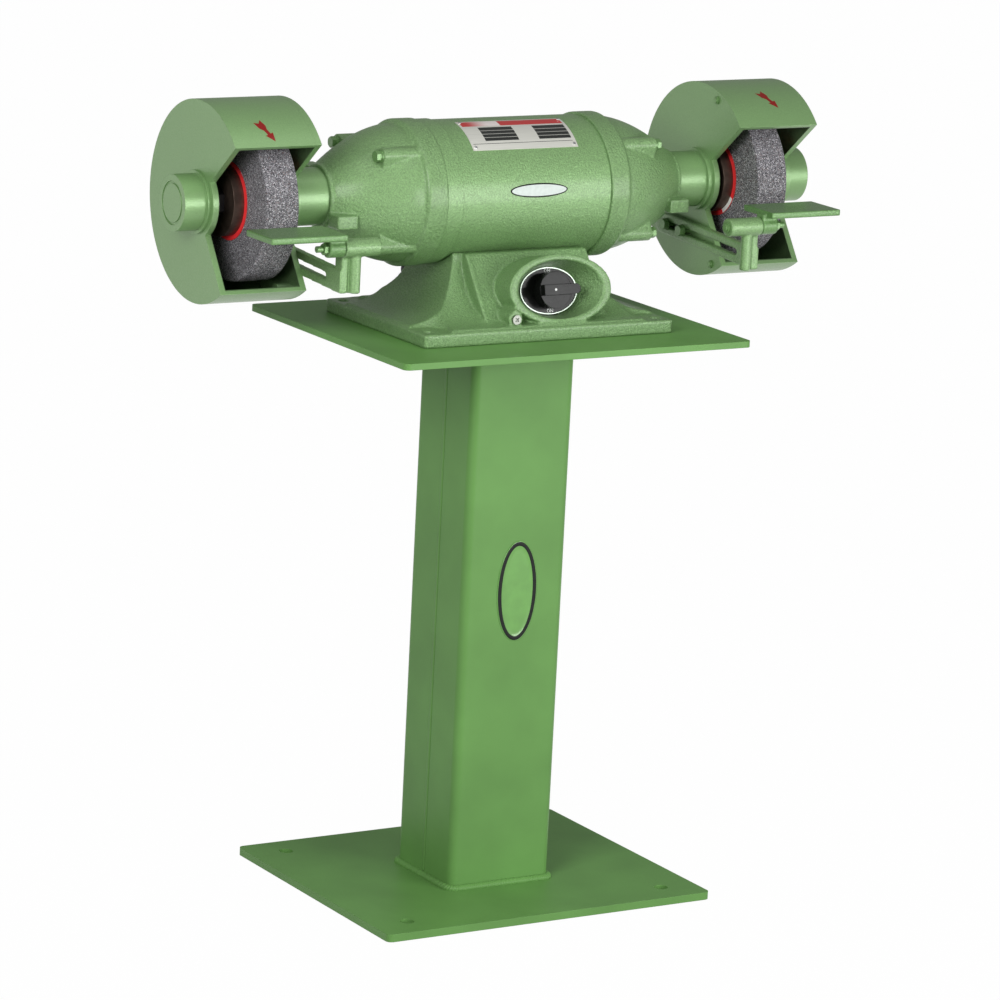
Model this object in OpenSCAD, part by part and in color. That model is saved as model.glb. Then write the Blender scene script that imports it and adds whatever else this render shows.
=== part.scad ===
// Double-ended bench grinder bolted to its welded pedestal stand.
// X runs along the grinder's spindle, -Y faces the user, +Z is up.
// The origin is the middle of the base plate's underside. All sizes are in millimetres.

/* [Base plate] */
// Length of the base plate, along X
base_l = 475; // [400:5:600]
// Depth of the base plate, along Y
base_d = 400; // [340:5:500]
// Thickness of the base plate
base_t = 10; // [6:1:20]
// Distance between the floor anchor holes along X
anchor_span_x = 376; // [300:2:420]
// Distance between the floor anchor holes along Y
anchor_span_y = 318; // [260:2:340]
// Diameter of a floor anchor hole
anchor_hole_d = 18; // [10:1:24]
// Radius of the plates' corners
plate_corner_r = 8; // [2:1:20]

/* [Column] */
// Height of the stand, floor to the top face of the top plate
stand_h = 730; // [600:10:900]
// Width of the box column, along X
column_w = 148; // [120:2:180]
// Depth of the box column, along Y
column_d = 138; // [120:2:180]
// Thickness of the folded sheet
column_wall = 4; // [3:0.5:6]
// Outer radius of the folded corners
column_corner_r = 11; // [8:1:16]
// Leg of the fillet welds at the foot and at the head
weld_leg = 7; // [4:0.5:10]

/* [Top plate] */
// Length of the top plate, along X
top_l = 500; // [420:5:600]
// Depth of the top plate, along Y
top_d = 400; // [340:5:460]
// Thickness of the top plate
top_t = 8; // [5:1:14]

/* [Pedestal casting] */
// Length of the casting's foot flange, along X
flange_l = 360; // [354:2:390]
// Depth of the foot flange, along Y
flange_d = 254; // [250:2:280]
// How far the flange's middle lies behind the stand's middle
flange_shift = 3; // [0:1:10]
// Thickness of the foot flange
flange_t = 17; // [14:1:22]
// Distance between the flange's holes along X
foot_span_x = 330; // [326:2:336]
// Distance between the flange's holes along Y
foot_span_y = 214; // [206:2:218]
// Half width of the casting's neck under the motor
neck_half_w = 90; // [86:1:96]
// Radius of the concave sweep from the neck to the foot, at the two sides
sweep_r = 86; // [76:1:86]
// Radius of the concave sweep at the front
front_sweep_r = 90; // [80:1:96]
// Radius of the concave sweep at the back
rear_sweep_r = 48; // [40:1:54]
// Wall of the casting
cast_wall = 11; // [8:1:13]

/* [Motor] */
// Height of the spindle above the top plate
axis_rise = 167; // [160:1:190]
// How far the spindle lies behind the stand's middle
axis_back = 30; // [20:1:34]
// Outer radius of the motor shell
shell_r = 89; // [86:0.5:92]
// Wall of the motor shell
shell_wall = 6; // [5:0.5:8]
// Half length of the motor shell
shell_half_l = 119; // [114:1:124]
// Length of one end bell
bell_l = 137; // [130:1:145]
// Radius of the end bell's rim
bell_rim_r = 92; // [90:0.5:96]
// Radius of the end bell's nose
bell_nose_r = 40; // [39:0.5:46]
// Radius of the circle that the bell bolts lie on
bell_bolt_circle_r = 80; // [78:0.5:80]

/* [Spindle] */
// Diameter of the spindle at the bearings
bearing_bore_d = 30; // [28:1:32]
// Diameter of the spindle at the wheels
wheel_seat_d = 25; // [22:1:26]
// Outer diameter of a grinding wheel
wheel_d = 200; // [150:1:202]
// Width of a grinding wheel
wheel_w = 44; // [20:1:46]
// Diameter of a clamping flange
clamp_d = 87; // [70:1:92]
// Diameter of a paper blotter
blotter_d = 98; // [90:1:110]

/* [Guards] */
// Outer radius of a wheel guard
guard_r = 125; // [122:1:132]
// Width of a wheel guard, both plates included
guard_w = 118; // [114:1:126]
// Thickness of the guard's rim
guard_rim_t = 6; // [4:0.5:7]
// Thickness of the guard's side plates
guard_side_t = 8; // [6:0.5:10]
// Upper edge of the guard's mouth, degrees above the horizontal
mouth_up = 40; // [25:1:50]
// Lower edge of the guard's mouth, degrees below the horizontal
mouth_down = 55; // [40:1:58]
// Radius of the spindle-end cap on the guard
cap_r = 35; // [33:0.5:40]
// How far the cap stands out of the guard
cap_l = 33; // [30:1:40]

/* [Tool rests] */
// Length of a tool rest along the wheel's width
rest_l = 104; // [90:1:110]
// Depth of a tool rest, away from the wheel
rest_d = 66; // [50:1:80]
// Thickness of a tool rest
rest_t = 8; // [6:0.5:10]
// Gap between a tool rest and a new wheel, with the arm part-way along its slot
rest_gap = 10; // [3:0.5:12]
// How far the rest's top lies below the spindle
rest_drop = 16; // [12:1:20]
// Depth of the arm's bar
arm_h = 28; // [24:1:30]
// Thickness of the arm's bar
arm_t = 10; // [8:0.5:12]
// Slope of the arm, degrees down towards the user
arm_slope = 3; // [2:0.5:6]

/* [Switch] */
// Width of the switch cup
cup_w = 148; // [136:1:156]
// Height of the switch cup
cup_h = 88; // [84:1:92]
// Depth of the cup, rim to dial
cup_depth = 33; // [28:1:36]
// Tilt of the cup, degrees up towards the user's face
cup_tilt = 14; // [8:1:18]
// Width of the switch dial
dial_w = 80; // [72:1:84]
// Height of the switch dial
dial_h = 56; // [50:1:60]
// Diameter of the switch knob
knob_d = 46; // [40:1:50]

/* [Hidden] */
$fn = 96;
over = 1;
fit = 0.05;
seam_line = 0.4;
hex_share = 2 / sqrt(3);

// Stand
seam_gap = 2;
seam_bead_w = 7;
seam_bead_proud = 0.7;
weld_crown_share = 0.58;
column_top = stand_h - top_t;
anchor_r = anchor_hole_d / 2;
badge_w = 58;
badge_h = 130;
badge_t = 1.2;
badge_x = 3;
badge_z = 397;

// Threads, heads and washers, by nominal diameter
m12 = 12;
m8 = 8;
m6 = 6;
m5 = 5;
head_af_share = 1.6;
head_h_share = 0.65;
head_top_share = 0.9;
washer_d_share = 2;
washer_t_share = 0.2;
hole_share = 1.1;

// Casting
axis_y = axis_back;
axis_z = stand_h + axis_rise;
flange_top = stand_h + flange_t;
flange_corner_r = 5;
cast_edge = 3;
flange_front_y = flange_shift - flange_d / 2;
flange_rear_y = flange_shift + flange_d / 2;
saddle_rise = 20;
cast_top = axis_z - shell_r + saddle_rise;
saddle_t = 10;
ceiling_z = axis_z - shell_r - saddle_t;
foot_half_w = neck_half_w + sweep_r;
sweep_z = flange_top + cast_edge + sweep_r;
front_ledge = 5;
front_foot_y = flange_front_y + front_ledge;
front_neck_y = front_foot_y + front_sweep_r;
front_sweep_z = flange_top + cast_edge + front_sweep_r;
rear_ledge = 10;
rear_foot_y = flange_rear_y - rear_ledge;
rear_neck_y = rear_foot_y - rear_sweep_r;
rear_sweep_z = flange_top + cast_edge + rear_sweep_r;
floor_side_w = 51;
floor_front_w = 45;
floor_rear_w = 26;
floor_half_w = foot_half_w - floor_side_w;
floor_front_y = front_foot_y + floor_front_w;
floor_rear_y = rear_foot_y - floor_rear_w;

// Front panel: a straight lean, then a sweep out to the flange's front edge
panel_left = -79;
panel_right = 98;
panel_top_y = -39;
panel_foot_y = -98;
panel_sweep_r = 40;
panel_steps = 8;
ridge_w = 6;
ridge_t = 1.6;

// Recesses over the foot bolts: each narrows to a point on the body's corner
pocket_r = 29;
pocket_wall_h = 1.5;
pocket_rise = 24;
pocket_tip_r = 1.5;
pocket_tip_out = 2.6;
pocket_sink = 0.4;
foot_bolt_grip = 12;
shell_screw_x = 74;
shell_screw_y = 20;
shell_screw_bite = 4;

// Switch cup
cup_x = 22;
cup_set_back = 17;
cup_y = flange_front_y + cup_set_back;
cup_z = flange_top + cup_h / 2;
cup_rim_w = 11;
cup_rim_h = 7;
cup_back = 62;
cup_points = 72;
dial_ring_w = 1.5;
dial_ring_t = 3;
dial_t = 2;
switch_w = 50;
switch_h = 38;
switch_l = 36;
switch_gap = 2;
switch_wire_room = 20;
knob_boss_h = 18;
knob_grip_h = 10;
knob_grip_w = 13;
knob_grip_front = 30;
knob_grip_base = 4;
knob_grip_back = 22;
knob_lift = 0.5;
knob_stem_d = 8;
knob_stem_gap = 0.5;
earth_x = -47;
earth_rise = 11;
earth_z = flange_top + earth_rise;
earth_proud = 9;
earth_y = cup_y - earth_proud;
earth_boss_r = 10;
earth_lug_share = 0.94;
earth_head_r = 6;
earth_head_t = 3;
earth_slot_w = 1.4;

// Cable gland
gland_x = -60;
gland_rise = 32;
gland_z = flange_top + gland_rise;
gland_boss_r = 17;
gland_set_in = 6;
gland_boss_y = rear_foot_y - gland_set_in;
gland_af = 24;
gland_hex_l = 7;
gland_dome_r = 11.5;
gland_dome_l = 17;
gland_bore_r = 5;
gland_thread_r = 10;

// Motor
shell_band_l = 22;
shell_band_t = 1.5;
bell_rim_l = 29;
bell_rim_round = 3;
bell_rim_step = 5.5;
bell_shoulder_r = bell_rim_r - bell_rim_step;
bell_nose_l = 5;
bell_curve_power = 1.7;
bell_curve_steps = 14;
bell_wall = 9;
bell_boss_r = 10;
bell_boss_l = 79;
bell_boss_flank = 26;
bell_boss_depth = 20;
bell_spot_r = 9;
bell_lug_w = 26;
bell_lug_l = 28;
bell_lug_h = 17;
bell_lug_drop = 16;
bell_lug_reach = 60;
spring_washer_t = 2;
spring_washer_d_share = 1.7;
bell_end = shell_half_l + bell_l;
shell_lug_l = 22;
shell_lug_r = 8.5;
bell_bolt_bite = 18;
core_half_l = 55;
rotor_r = 50;
air_gap = 0.6;
coil_l = 30;
coil_r_in = 56;
coil_r_out = 70;
coil_gap = 1;
slot_count = 24;
slot_r = 2.5;
bearing_w = 16;
bearing_d = 62;
bearing_wall = 6;
bearing_inner_wall = 6;
bearing_shoulder_t = 5;
nose_face_t = 30;
bearing_end = bell_end - nose_face_t;
ball_d = 9.5;
ball_count = 9;
ball_gap = 0.3;
seal_t = 1;
spring_t = 1.2;
spring_w = 5;
nose_bore_r = 20;
hub_wall = 7;

// Name plate and badge on the motor shell
plate_x0 = -72;
plate_x1 = 80;
plate_low_angle = 42;
plate_high_angle = 79;
plate_t = 0.8;
rivet_r = 2;
rivet_inset = 4.5;
rivet_h = 0.9;
rivet_seat = 0.1;
shell_badge_x = 12.5;
shell_badge_w = 83;
shell_badge_h = 18;
shell_badge_angle = 7;
shell_badge_t = 0.6;

// Guards: x0 is the motor side, x3 the outer side
tube_l = 47;
guard_x0 = bell_end + tube_l;
guard_x1 = guard_x0 + guard_side_t;
guard_x3 = guard_x0 + guard_w;
guard_x2 = guard_x3 - guard_side_t;
hub_disc_r = 45;
tube_r = 36;
tube_ring_r = 40;
tube_ring_l = 6;
cap_wall = 7;
cap_step_w = 4;
cap_step_r = cap_r + cap_step_w;
cap_step_l = 4;
cap_face_t = 5;
cap_dish_r = 27;
cap_dish_t = 1.6;
guard_screw_angles = [70, -66, 180];
guard_screw_inset = 11;
guard_screw_circle_r = guard_r - guard_screw_inset;
guard_lug_r = 7;
guard_lug_l = 22;
pan_head_r = 5.2;
pan_head_t = 3.6;
pan_crown_t = 1.6;
hub_screw_circle_r = 28;
hub_screw_angles = [90, 210, 330];
hub_screw_bite = 15;
socket_head_share = 1.55;

// Spindle ends
wheel_clear = 22;
blotter_t = 1;
clamp_t = 14;
wheel_x0 = guard_x1 + wheel_clear;
wheel_x1 = wheel_x0 + wheel_w;
clamp_in = wheel_x0 - blotter_t - clamp_t;
clamp_out = wheel_x1 + blotter_t + clamp_t;
nut_af = 36;
nut_t = 15;
shaft_past_guard = 12;
shaft_end = guard_x3 + shaft_past_guard;
shaft_mid_d = 36;
clamp_relief_t = 2;
clamp_relief_share = 0.72;

// Tool rests, measured from the spindle: out is towards the user, up is +Z
rest_edge_out = wheel_d / 2 + rest_gap;
pivot_set_back = 22;
pivot_out = rest_edge_out + rest_d - pivot_set_back;
tee_r = 11.5;
tee_gap = 0.5;
pivot_up = -rest_drop - rest_t - tee_r - tee_gap;
post_inset = 20;
post_x = guard_x0 - post_inset;
post_r = 7;
upright_d = 18;
upright_groove = 2;
tee_l = 48;
tee_shift = 6;
tee_x0 = post_x - tee_shift - tee_l / 2;
tee_x1 = post_x - tee_shift + tee_l / 2;
knuckle_l = 22;
knuckle_r = 11;
knuckle_gap = 0.3;
knuckle_web = 16;
rest_inset = 3;
rest_x0 = guard_x0 + rest_inset;
rest_round = 3;
arm_x0 = guard_x0 - arm_t;
arm_up = -70;
arm_back = -74;
arm_bolt_out = [-10, -48];
slot_w_share = 1.06;
slot_w = m8 * slot_w_share;
slot_out0 = -62;
slot_out1 = 118;
pivot_thread_l = 14;
pivot_head_r = 6.5;
pivot_head_t = 4.5;

// Paint and metal
paint = [0.42, 0.60, 0.38];
stand_paint = [0.36, 0.58, 0.33];
steel = [0.72, 0.73, 0.74];
dark_steel = [0.35, 0.35, 0.36];
grit = [0.45, 0.44, 0.46];
paper = [0.78, 0.08, 0.10];
black = [0.06, 0.06, 0.06];
copper = [0.72, 0.40, 0.18];
aluminium = [0.82, 0.83, 0.84];
white = [0.93, 0.93, 0.92];

// Shapes that many pieces share

// Rectangle with round corners, centred
module round_rect(w, d, r) {
    square([w - r * 2, d], center = true);
    square([w, d - r * 2], center = true);
    for (sx = [-1, 1], sy = [-1, 1])
        translate([sx * (w / 2 - r), sy * (d / 2 - r)]) circle(r);
}

// Oval of given width and height
module oval(w, h) {
    polygon([for (i = [0 : cup_points - 1])
        [w / 2 * cos(360 * i / cup_points), h / 2 * sin(360 * i / cup_points)]]);
}

// Rod along X; its place is measured from the spindle
module rod(r, x0, x1, out = 0, up = 0) {
    translate([x0, axis_y - out, axis_z + up]) rotate([0, 90, 0]) cylinder(r = r, h = x1 - x0);
}

// Turned shape about the spindle: the profile's x is the radius, its y the place along X
module turned() {
    translate([0, axis_y, axis_z]) rotate([0, 90, 0]) rotate_extrude() children();
}

// Slab across X: drawn as (out, up) from the spindle, seen along X
module slab(x0, x1) {
    translate([x0, axis_y, axis_z]) rotate([90, 0, 90]) linear_extrude(x1 - x0)
        mirror([1, 0]) children();
}

// Hexagonal prism along +Z
module hex(af, h) {
    cylinder(d = af * hex_share, h = h, $fn = 6);
}

// Hexagonal head or nut with its top corners turned off
module hex_head(af, h) {
    top_r = af * hex_share / 2 * head_top_share;
    intersection() {
        hex(af, h);
        cylinder(r1 = top_r + h, r2 = top_r, h = h);
    }
}

// Hexagon-headed bolt: head above z = 0, shank below
module hex_bolt(d, l) {
    hex_head(d * head_af_share, d * head_h_share);
    translate([0, 0, -l]) cylinder(d = d, h = l + fit);
}

module washer(d, t, d_share = washer_d_share) {
    difference() {
        cylinder(d = d * d_share, h = t);
        translate([0, 0, -over]) cylinder(d = d * hole_share, h = t + over * 2);
    }
}

// Place something on the bell bolts' axes, its +Z pointing away from the motor
module at_bell_bolts(x) {
    for (side = [-1, 1], up = [45, 135, 225, 315])
        translate([side * x, axis_y - bell_bolt_circle_r * cos(up), axis_z + bell_bolt_circle_r * sin(up)])
            rotate([0, side * 90, 0]) children();
}

// Draw for the right end, or mirror it to the left end
module end(side) {
    mirror([side < 0 ? 1 : 0, 0, 0]) children();
}

// Stand

module base_plate() {
    color(stand_paint) linear_extrude(base_t) difference() {
        round_rect(base_l, base_d, plate_corner_r);
        for (sx = [-1, 1], sy = [-1, 1])
            translate([sx * anchor_span_x / 2, sy * anchor_span_y / 2]) circle(anchor_r);
    }
}

// Cross-section of a fillet weld with a slight crown; its corner is at the origin
module weld_section() {
    polygon([[0, 0], [weld_leg, 0], [weld_leg * weld_crown_share, weld_leg * weld_crown_share], [0, weld_leg]]);
}

// Weld bead all round the column, standing on z = 0
module weld_ring() {
    run_x = column_w - column_corner_r * 2;
    run_y = column_d - column_corner_r * 2;
    for (s = [-1, 1]) {
        mirror([0, s < 0 ? 1 : 0, 0]) translate([run_x / 2, column_d / 2, 0])
            rotate([90, 0, -90]) linear_extrude(run_x) mirror([1, 0]) weld_section();
        mirror([s < 0 ? 1 : 0, 0, 0]) translate([column_w / 2, run_y / 2, 0])
            rotate([90, 0, 0]) linear_extrude(run_y) weld_section();
    }
    for (sx = [0, 1], sy = [0, 1])
        mirror([sx, 0, 0]) mirror([0, sy, 0])
            translate([run_x / 2, run_y / 2, 0]) rotate_extrude(angle = 90)
                translate([column_corner_r, 0]) weld_section();
}

module base_weld() {
    color(stand_paint) translate([0, 0, base_t]) weld_ring();
}

module top_weld() {
    color(stand_paint) translate([0, 0, column_top]) mirror([0, 0, 1]) weld_ring();
}

// One folded channel, its web towards -Y
module channel() {
    color(stand_paint) translate([0, 0, base_t]) linear_extrude(column_top - base_t) intersection() {
        difference() {
            round_rect(column_w, column_d, column_corner_r);
            round_rect(column_w - column_wall * 2, column_d - column_wall * 2, column_corner_r - column_wall);
        }
        translate([-column_w, -column_d]) square([column_w * 2, column_d - seam_gap / 2]);
    }
}

module column_front_channel() {
    channel();
}

module column_rear_channel() {
    mirror([0, 1, 0]) channel();
}

module column_seam_welds() {
    color(stand_paint) for (s = [0, 1]) mirror([s, 0, 0])
        translate([column_w / 2, 0, base_t + weld_leg])
            linear_extrude(column_top - base_t - weld_leg * 2) {
                translate([-column_wall, -seam_gap / 2]) square([column_wall, seam_gap]);
                polygon([[0, -seam_bead_w / 2], [seam_bead_proud, -seam_bead_w / 4],
                    [seam_bead_proud, seam_bead_w / 4], [0, seam_bead_w / 2]]);
            }
}

module top_plate() {
    color(stand_paint) translate([0, 0, column_top]) linear_extrude(top_t) difference() {
        round_rect(top_l, top_d, plate_corner_r);
        for (sx = [-1, 1], sy = [-1, 1])
            translate([sx * foot_span_x / 2, flange_shift + sy * foot_span_y / 2])
                circle(d = m12 * hole_share);
    }
}

module column_badge() {
    color(black) translate([badge_x, -column_d / 2, badge_z]) rotate([90, 0, 0])
        linear_extrude(badge_t) oval(badge_w, badge_h);
}

// Places of the four foot bolts
module at_foot_bolts() {
    for (sx = [-1, 1], sy = [-1, 1])
        translate([sx * foot_span_x / 2, flange_shift + sy * foot_span_y / 2, 0]) children();
}

module mount_bolts() {
    washer_t = m12 * washer_t_share;
    color(dark_steel) at_foot_bolts() translate([0, 0, column_top - washer_t]) mirror([0, 0, 1])
        hex_bolt(m12, washer_t + top_t + foot_bolt_grip);
}

module mount_washers() {
    washer_t = m12 * washer_t_share;
    color(dark_steel) at_foot_bolts() translate([0, 0, column_top - washer_t]) washer(m12, washer_t);
}

// Pedestal casting

// The body as seen from the front; grow moves its swept sides inwards
module front_outline(grow) {
    difference() {
        translate([-foot_half_w, stand_h]) square([foot_half_w * 2, cast_top - stand_h]);
        for (s = [-1, 1]) {
            translate([s * foot_half_w, sweep_z]) circle(sweep_r + grow);
            translate([s * (neck_half_w - grow + foot_half_w), sweep_z + foot_half_w])
                square(foot_half_w * 2, center = true);
        }
    }
}

// The body as seen from the side, drawn as (y, z)
module side_outline(grow) {
    depth = rear_foot_y - front_foot_y;
    difference() {
        translate([front_foot_y, stand_h]) square([depth, cast_top - stand_h]);
        translate([front_foot_y, front_sweep_z]) circle(front_sweep_r + grow);
        translate([front_neck_y + grow - depth, front_sweep_z]) square([depth, depth]);
        translate([rear_foot_y, rear_sweep_z]) circle(rear_sweep_r + grow);
        translate([rear_neck_y - grow, rear_sweep_z]) square([depth, depth]);
    }
}

// What both outlines leave, swept down to the flange
module swept_body(grow) {
    intersection() {
        translate([0, rear_foot_y, 0]) rotate([90, 0, 0])
            linear_extrude(rear_foot_y - front_foot_y) front_outline(grow);
        translate([-foot_half_w, 0, 0]) rotate([90, 0, 90])
            linear_extrude(foot_half_w * 2) side_outline(grow);
    }
}

// The front panel as seen from the side, drawn as (y, z)
module panel_outline() {
    lean = atan2(cast_top - flange_top, panel_top_y - panel_foot_y);
    sweep_y = panel_foot_y - panel_sweep_r * tan(lean / 2);
    polygon(concat(
        [[panel_top_y, cast_top]],
        [for (i = [0 : panel_steps]) let (turn = lean - 90 - lean * i / panel_steps)
            [sweep_y + panel_sweep_r * cos(turn), flange_top + panel_sweep_r * (1 + sin(turn))]],
        [[sweep_y, flange_top - over], [front_neck_y + cast_wall, flange_top - over],
            [front_neck_y + cast_wall, cast_top]]));
}

// Panel that stands proud of the swept body between x0 and x1, set back by a distance
module front_panel(x0, x1, back) {
    translate([x0, back, 0]) rotate([90, 0, 90]) linear_extrude(x1 - x0) panel_outline();
}

// Frame of the switch cup: the rim lies in z = 0, +Z points out of the cup
module at_cup(depth = 0) {
    translate([cup_x, cup_y, cup_z]) rotate([90 - cup_tilt, 0, 0]) translate([0, 0, -depth]) children();
}

// Inside of the cup, narrowing from the rim to the dial's ring
module cup_funnel() {
    floor_w = dial_w + dial_ring_w * 2 + fit * 2;
    floor_h = dial_h + dial_ring_w * 2 + fit * 2;
    hull() {
        at_cup(0) linear_extrude(over) oval(cup_w - cup_rim_w * 2, cup_h - cup_rim_h * 2);
        at_cup(cup_depth) linear_extrude(over) oval(floor_w, floor_h);
    }
}

module cavity() {
    intersection() {
        union() {
            swept_body(cast_wall);
            front_panel(panel_left + cast_wall, panel_right - cast_wall, cast_wall);
        }
        translate([-foot_half_w, front_foot_y, flange_top - over])
            cube([foot_half_w * 2, rear_foot_y - front_foot_y, ceiling_z - flange_top + over]);
    }
    translate([-floor_half_w, floor_front_y, stand_h - over])
        cube([floor_half_w * 2, floor_rear_y - floor_front_y, flange_t + over * 2]);
}

// Distance that a concave sweep, ending at the flange, has swept inwards at a height over the flange
function swept_in(r, rise) = sqrt(pow(r, 2) - pow(r + cast_edge - rise, 2));

// Recesses over the foot bolts, narrowing upwards to the body's corners
module foot_pockets() {
    tip_x = foot_half_w - swept_in(sweep_r, pocket_rise) + pocket_tip_out;
    front_tip_y = front_foot_y + swept_in(front_sweep_r, pocket_rise) - pocket_tip_out;
    rear_tip_y = rear_foot_y - swept_in(rear_sweep_r, pocket_rise) + pocket_tip_out;
    for (sx = [-1, 1], sy = [-1, 1])
        hull() {
            translate([sx * foot_span_x / 2, flange_shift + sy * foot_span_y / 2, flange_top - pocket_sink])
                cylinder(r = pocket_r, h = pocket_wall_h, $fn = 48);
            translate([sx * tip_x, sy < 0 ? front_tip_y : rear_tip_y, flange_top + pocket_rise])
                cylinder(r = pocket_tip_r, h = pocket_tip_r, $fn = 16);
        }
}

module pedestal_casting() {
    color(paint) difference() {
        union() {
            translate([0, flange_shift, stand_h]) linear_extrude(flange_t)
                round_rect(flange_l, flange_d, flange_corner_r);
            swept_body(0);
            front_panel(panel_left, panel_right, 0);
            front_panel(panel_left, panel_left + ridge_w, -ridge_t);
            at_cup(cup_back) linear_extrude(cup_back) oval(cup_w, cup_h);
            translate([earth_x, earth_y, earth_z]) rotate([-90, 0, 0])
                linear_extrude(panel_foot_y + cast_wall - earth_y) {
                    circle(earth_boss_r);
                    rotate(225) square(earth_boss_r * earth_lug_share);
                }
            translate([gland_x, rear_neck_y - cast_wall, gland_z]) rotate([-90, 0, 0])
                cylinder(r = gland_boss_r, h = gland_boss_y - rear_neck_y + cast_wall);
        }
        translate([-foot_half_w, axis_y, axis_z]) rotate([0, 90, 0])
            cylinder(r = shell_r + fit, h = foot_half_w * 2);
        rod(shell_r + shell_band_t + fit, -foot_half_w, shell_band_l - shell_half_l + fit);
        cavity();
        cup_funnel();
        at_cup(cup_depth + switch_l + switch_wire_room)
            translate([0, 0, (switch_l + switch_wire_room + over) / 2])
                cube([switch_w + switch_gap * 2, switch_h + switch_gap * 2, switch_l + switch_wire_room + over],
                    center = true);
        at_foot_bolts() translate([0, 0, stand_h - over]) cylinder(d = m12 + fit * 2, h = flange_t + over * 2);
        foot_pockets();
        for (sx = [-1, 1], sy = [-1, 1])
            translate([sx * shell_screw_x, axis_y + sy * shell_screw_y, ceiling_z - over])
                cylinder(d = m8 * hole_share, h = saddle_t * 2);
        translate([earth_x, earth_y - over, earth_z]) rotate([-90, 0, 0])
            cylinder(d = m6 + fit * 2, h = m6 * 2 + over);
        translate([gland_x, gland_boss_y + over, gland_z]) rotate([90, 0, 0])
            cylinder(r = gland_thread_r + fit, h = gland_boss_y - rear_neck_y + cast_wall * 3);
    }
}

// Screws that draw the motor shell down onto the saddle, their heads inside the casting
module shell_screws() {
    rise = sqrt(pow(shell_r, 2) - pow(shell_screw_y, 2));
    color(dark_steel) for (sx = [-1, 1], sy = [-1, 1])
        translate([sx * shell_screw_x, axis_y + sy * shell_screw_y, ceiling_z]) mirror([0, 0, 1])
            hex_bolt(m8, axis_z - rise + shell_screw_bite - ceiling_z);
}

// Switch

module switch_body() {
    color(black) at_cup(cup_depth + switch_l) translate([0, 0, switch_l / 2])
        cube([switch_w, switch_h, switch_l], center = true);
}

module switch_dial() {
    color(black) at_cup(cup_depth) difference() {
        linear_extrude(dial_t) oval(dial_w, dial_h);
        translate([0, 0, -over]) cylinder(d = knob_stem_d + knob_stem_gap * 2, h = dial_t + over * 2);
    }
}

module dial_ring() {
    color(aluminium) at_cup(cup_depth) linear_extrude(dial_ring_t) difference() {
        oval(dial_w + dial_ring_w * 2, dial_h + dial_ring_w * 2);
        oval(dial_w + fit * 2, dial_h + fit * 2);
    }
}

module switch_knob() {
    grip_h = knob_boss_h + knob_grip_h - knob_grip_base;
    color(black) at_cup(cup_depth - dial_t - knob_lift) {
        cylinder(d = knob_d, h = knob_boss_h);
        translate([-knob_grip_back, -knob_grip_w / 2, knob_grip_base])
            cube([knob_grip_back + knob_grip_front - knob_grip_w / 2, knob_grip_w, grip_h]);
        translate([knob_grip_front - knob_grip_w / 2, 0, knob_grip_base])
            cylinder(d = knob_grip_w, h = grip_h);
        translate([0, 0, -dial_t - knob_lift]) cylinder(d = knob_stem_d, h = dial_t + knob_lift + over);
    }
}

module earth_screw() {
    color(steel) translate([earth_x, earth_y, earth_z]) rotate([90, 0, 0]) difference() {
        union() {
            cylinder(r = earth_head_r, h = earth_head_t);
            translate([0, 0, -m6 * 2]) cylinder(d = m6, h = m6 * 2 + over);
        }
        for (turn = [45, 135]) rotate(turn)
            translate([-earth_head_r / 2, -earth_slot_w / 2, earth_head_t - earth_slot_w])
                cube([earth_head_r, earth_slot_w, earth_slot_w + over]);
    }
}

module cable_gland() {
    color(black) translate([gland_x, gland_boss_y, gland_z]) rotate([-90, 0, 0]) difference() {
        union() {
            hex(gland_af, gland_hex_l);
            cylinder(r = gland_dome_r, h = gland_dome_l);
            translate([0, 0, -gland_boss_y + rear_neck_y]) cylinder(r = gland_thread_r,
                h = gland_boss_y - rear_neck_y + over);
        }
        translate([0, 0, -gland_boss_y + rear_neck_y - over])
            cylinder(r = gland_bore_r, h = gland_dome_l + gland_boss_y - rear_neck_y + over * 2);
    }
}

// Motor

module motor_shell() {
    color(paint) difference() {
        union() {
            rod(shell_r, -shell_half_l, shell_half_l);
            rod(shell_r + shell_band_t, -shell_half_l, shell_band_l - shell_half_l);
        }
        difference() {
            rod(shell_r - shell_wall, -shell_half_l - over, shell_half_l + over);
            at_bell_bolts(shell_half_l) translate([0, 0, -shell_lug_l]) cylinder(r = shell_lug_r, h = shell_lug_l);
        }
        at_bell_bolts(shell_half_l) translate([0, 0, -bell_bolt_bite - over])
            cylinder(d = m8 + fit * 2, h = bell_bolt_bite + over * 2);
        for (sx = [-1, 1], sy = [-1, 1])
            translate([sx * shell_screw_x, axis_y + sy * shell_screw_y, axis_z - shell_r - over])
                cylinder(d = m8 + fit * 2, h = shell_r);
    }
}

// Radius of the bell at share s of its curve, from the shoulder to the nose
function bell_radius(s) = bell_nose_r + (bell_shoulder_r - bell_nose_r) * (1 - pow(s, bell_curve_power));

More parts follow.
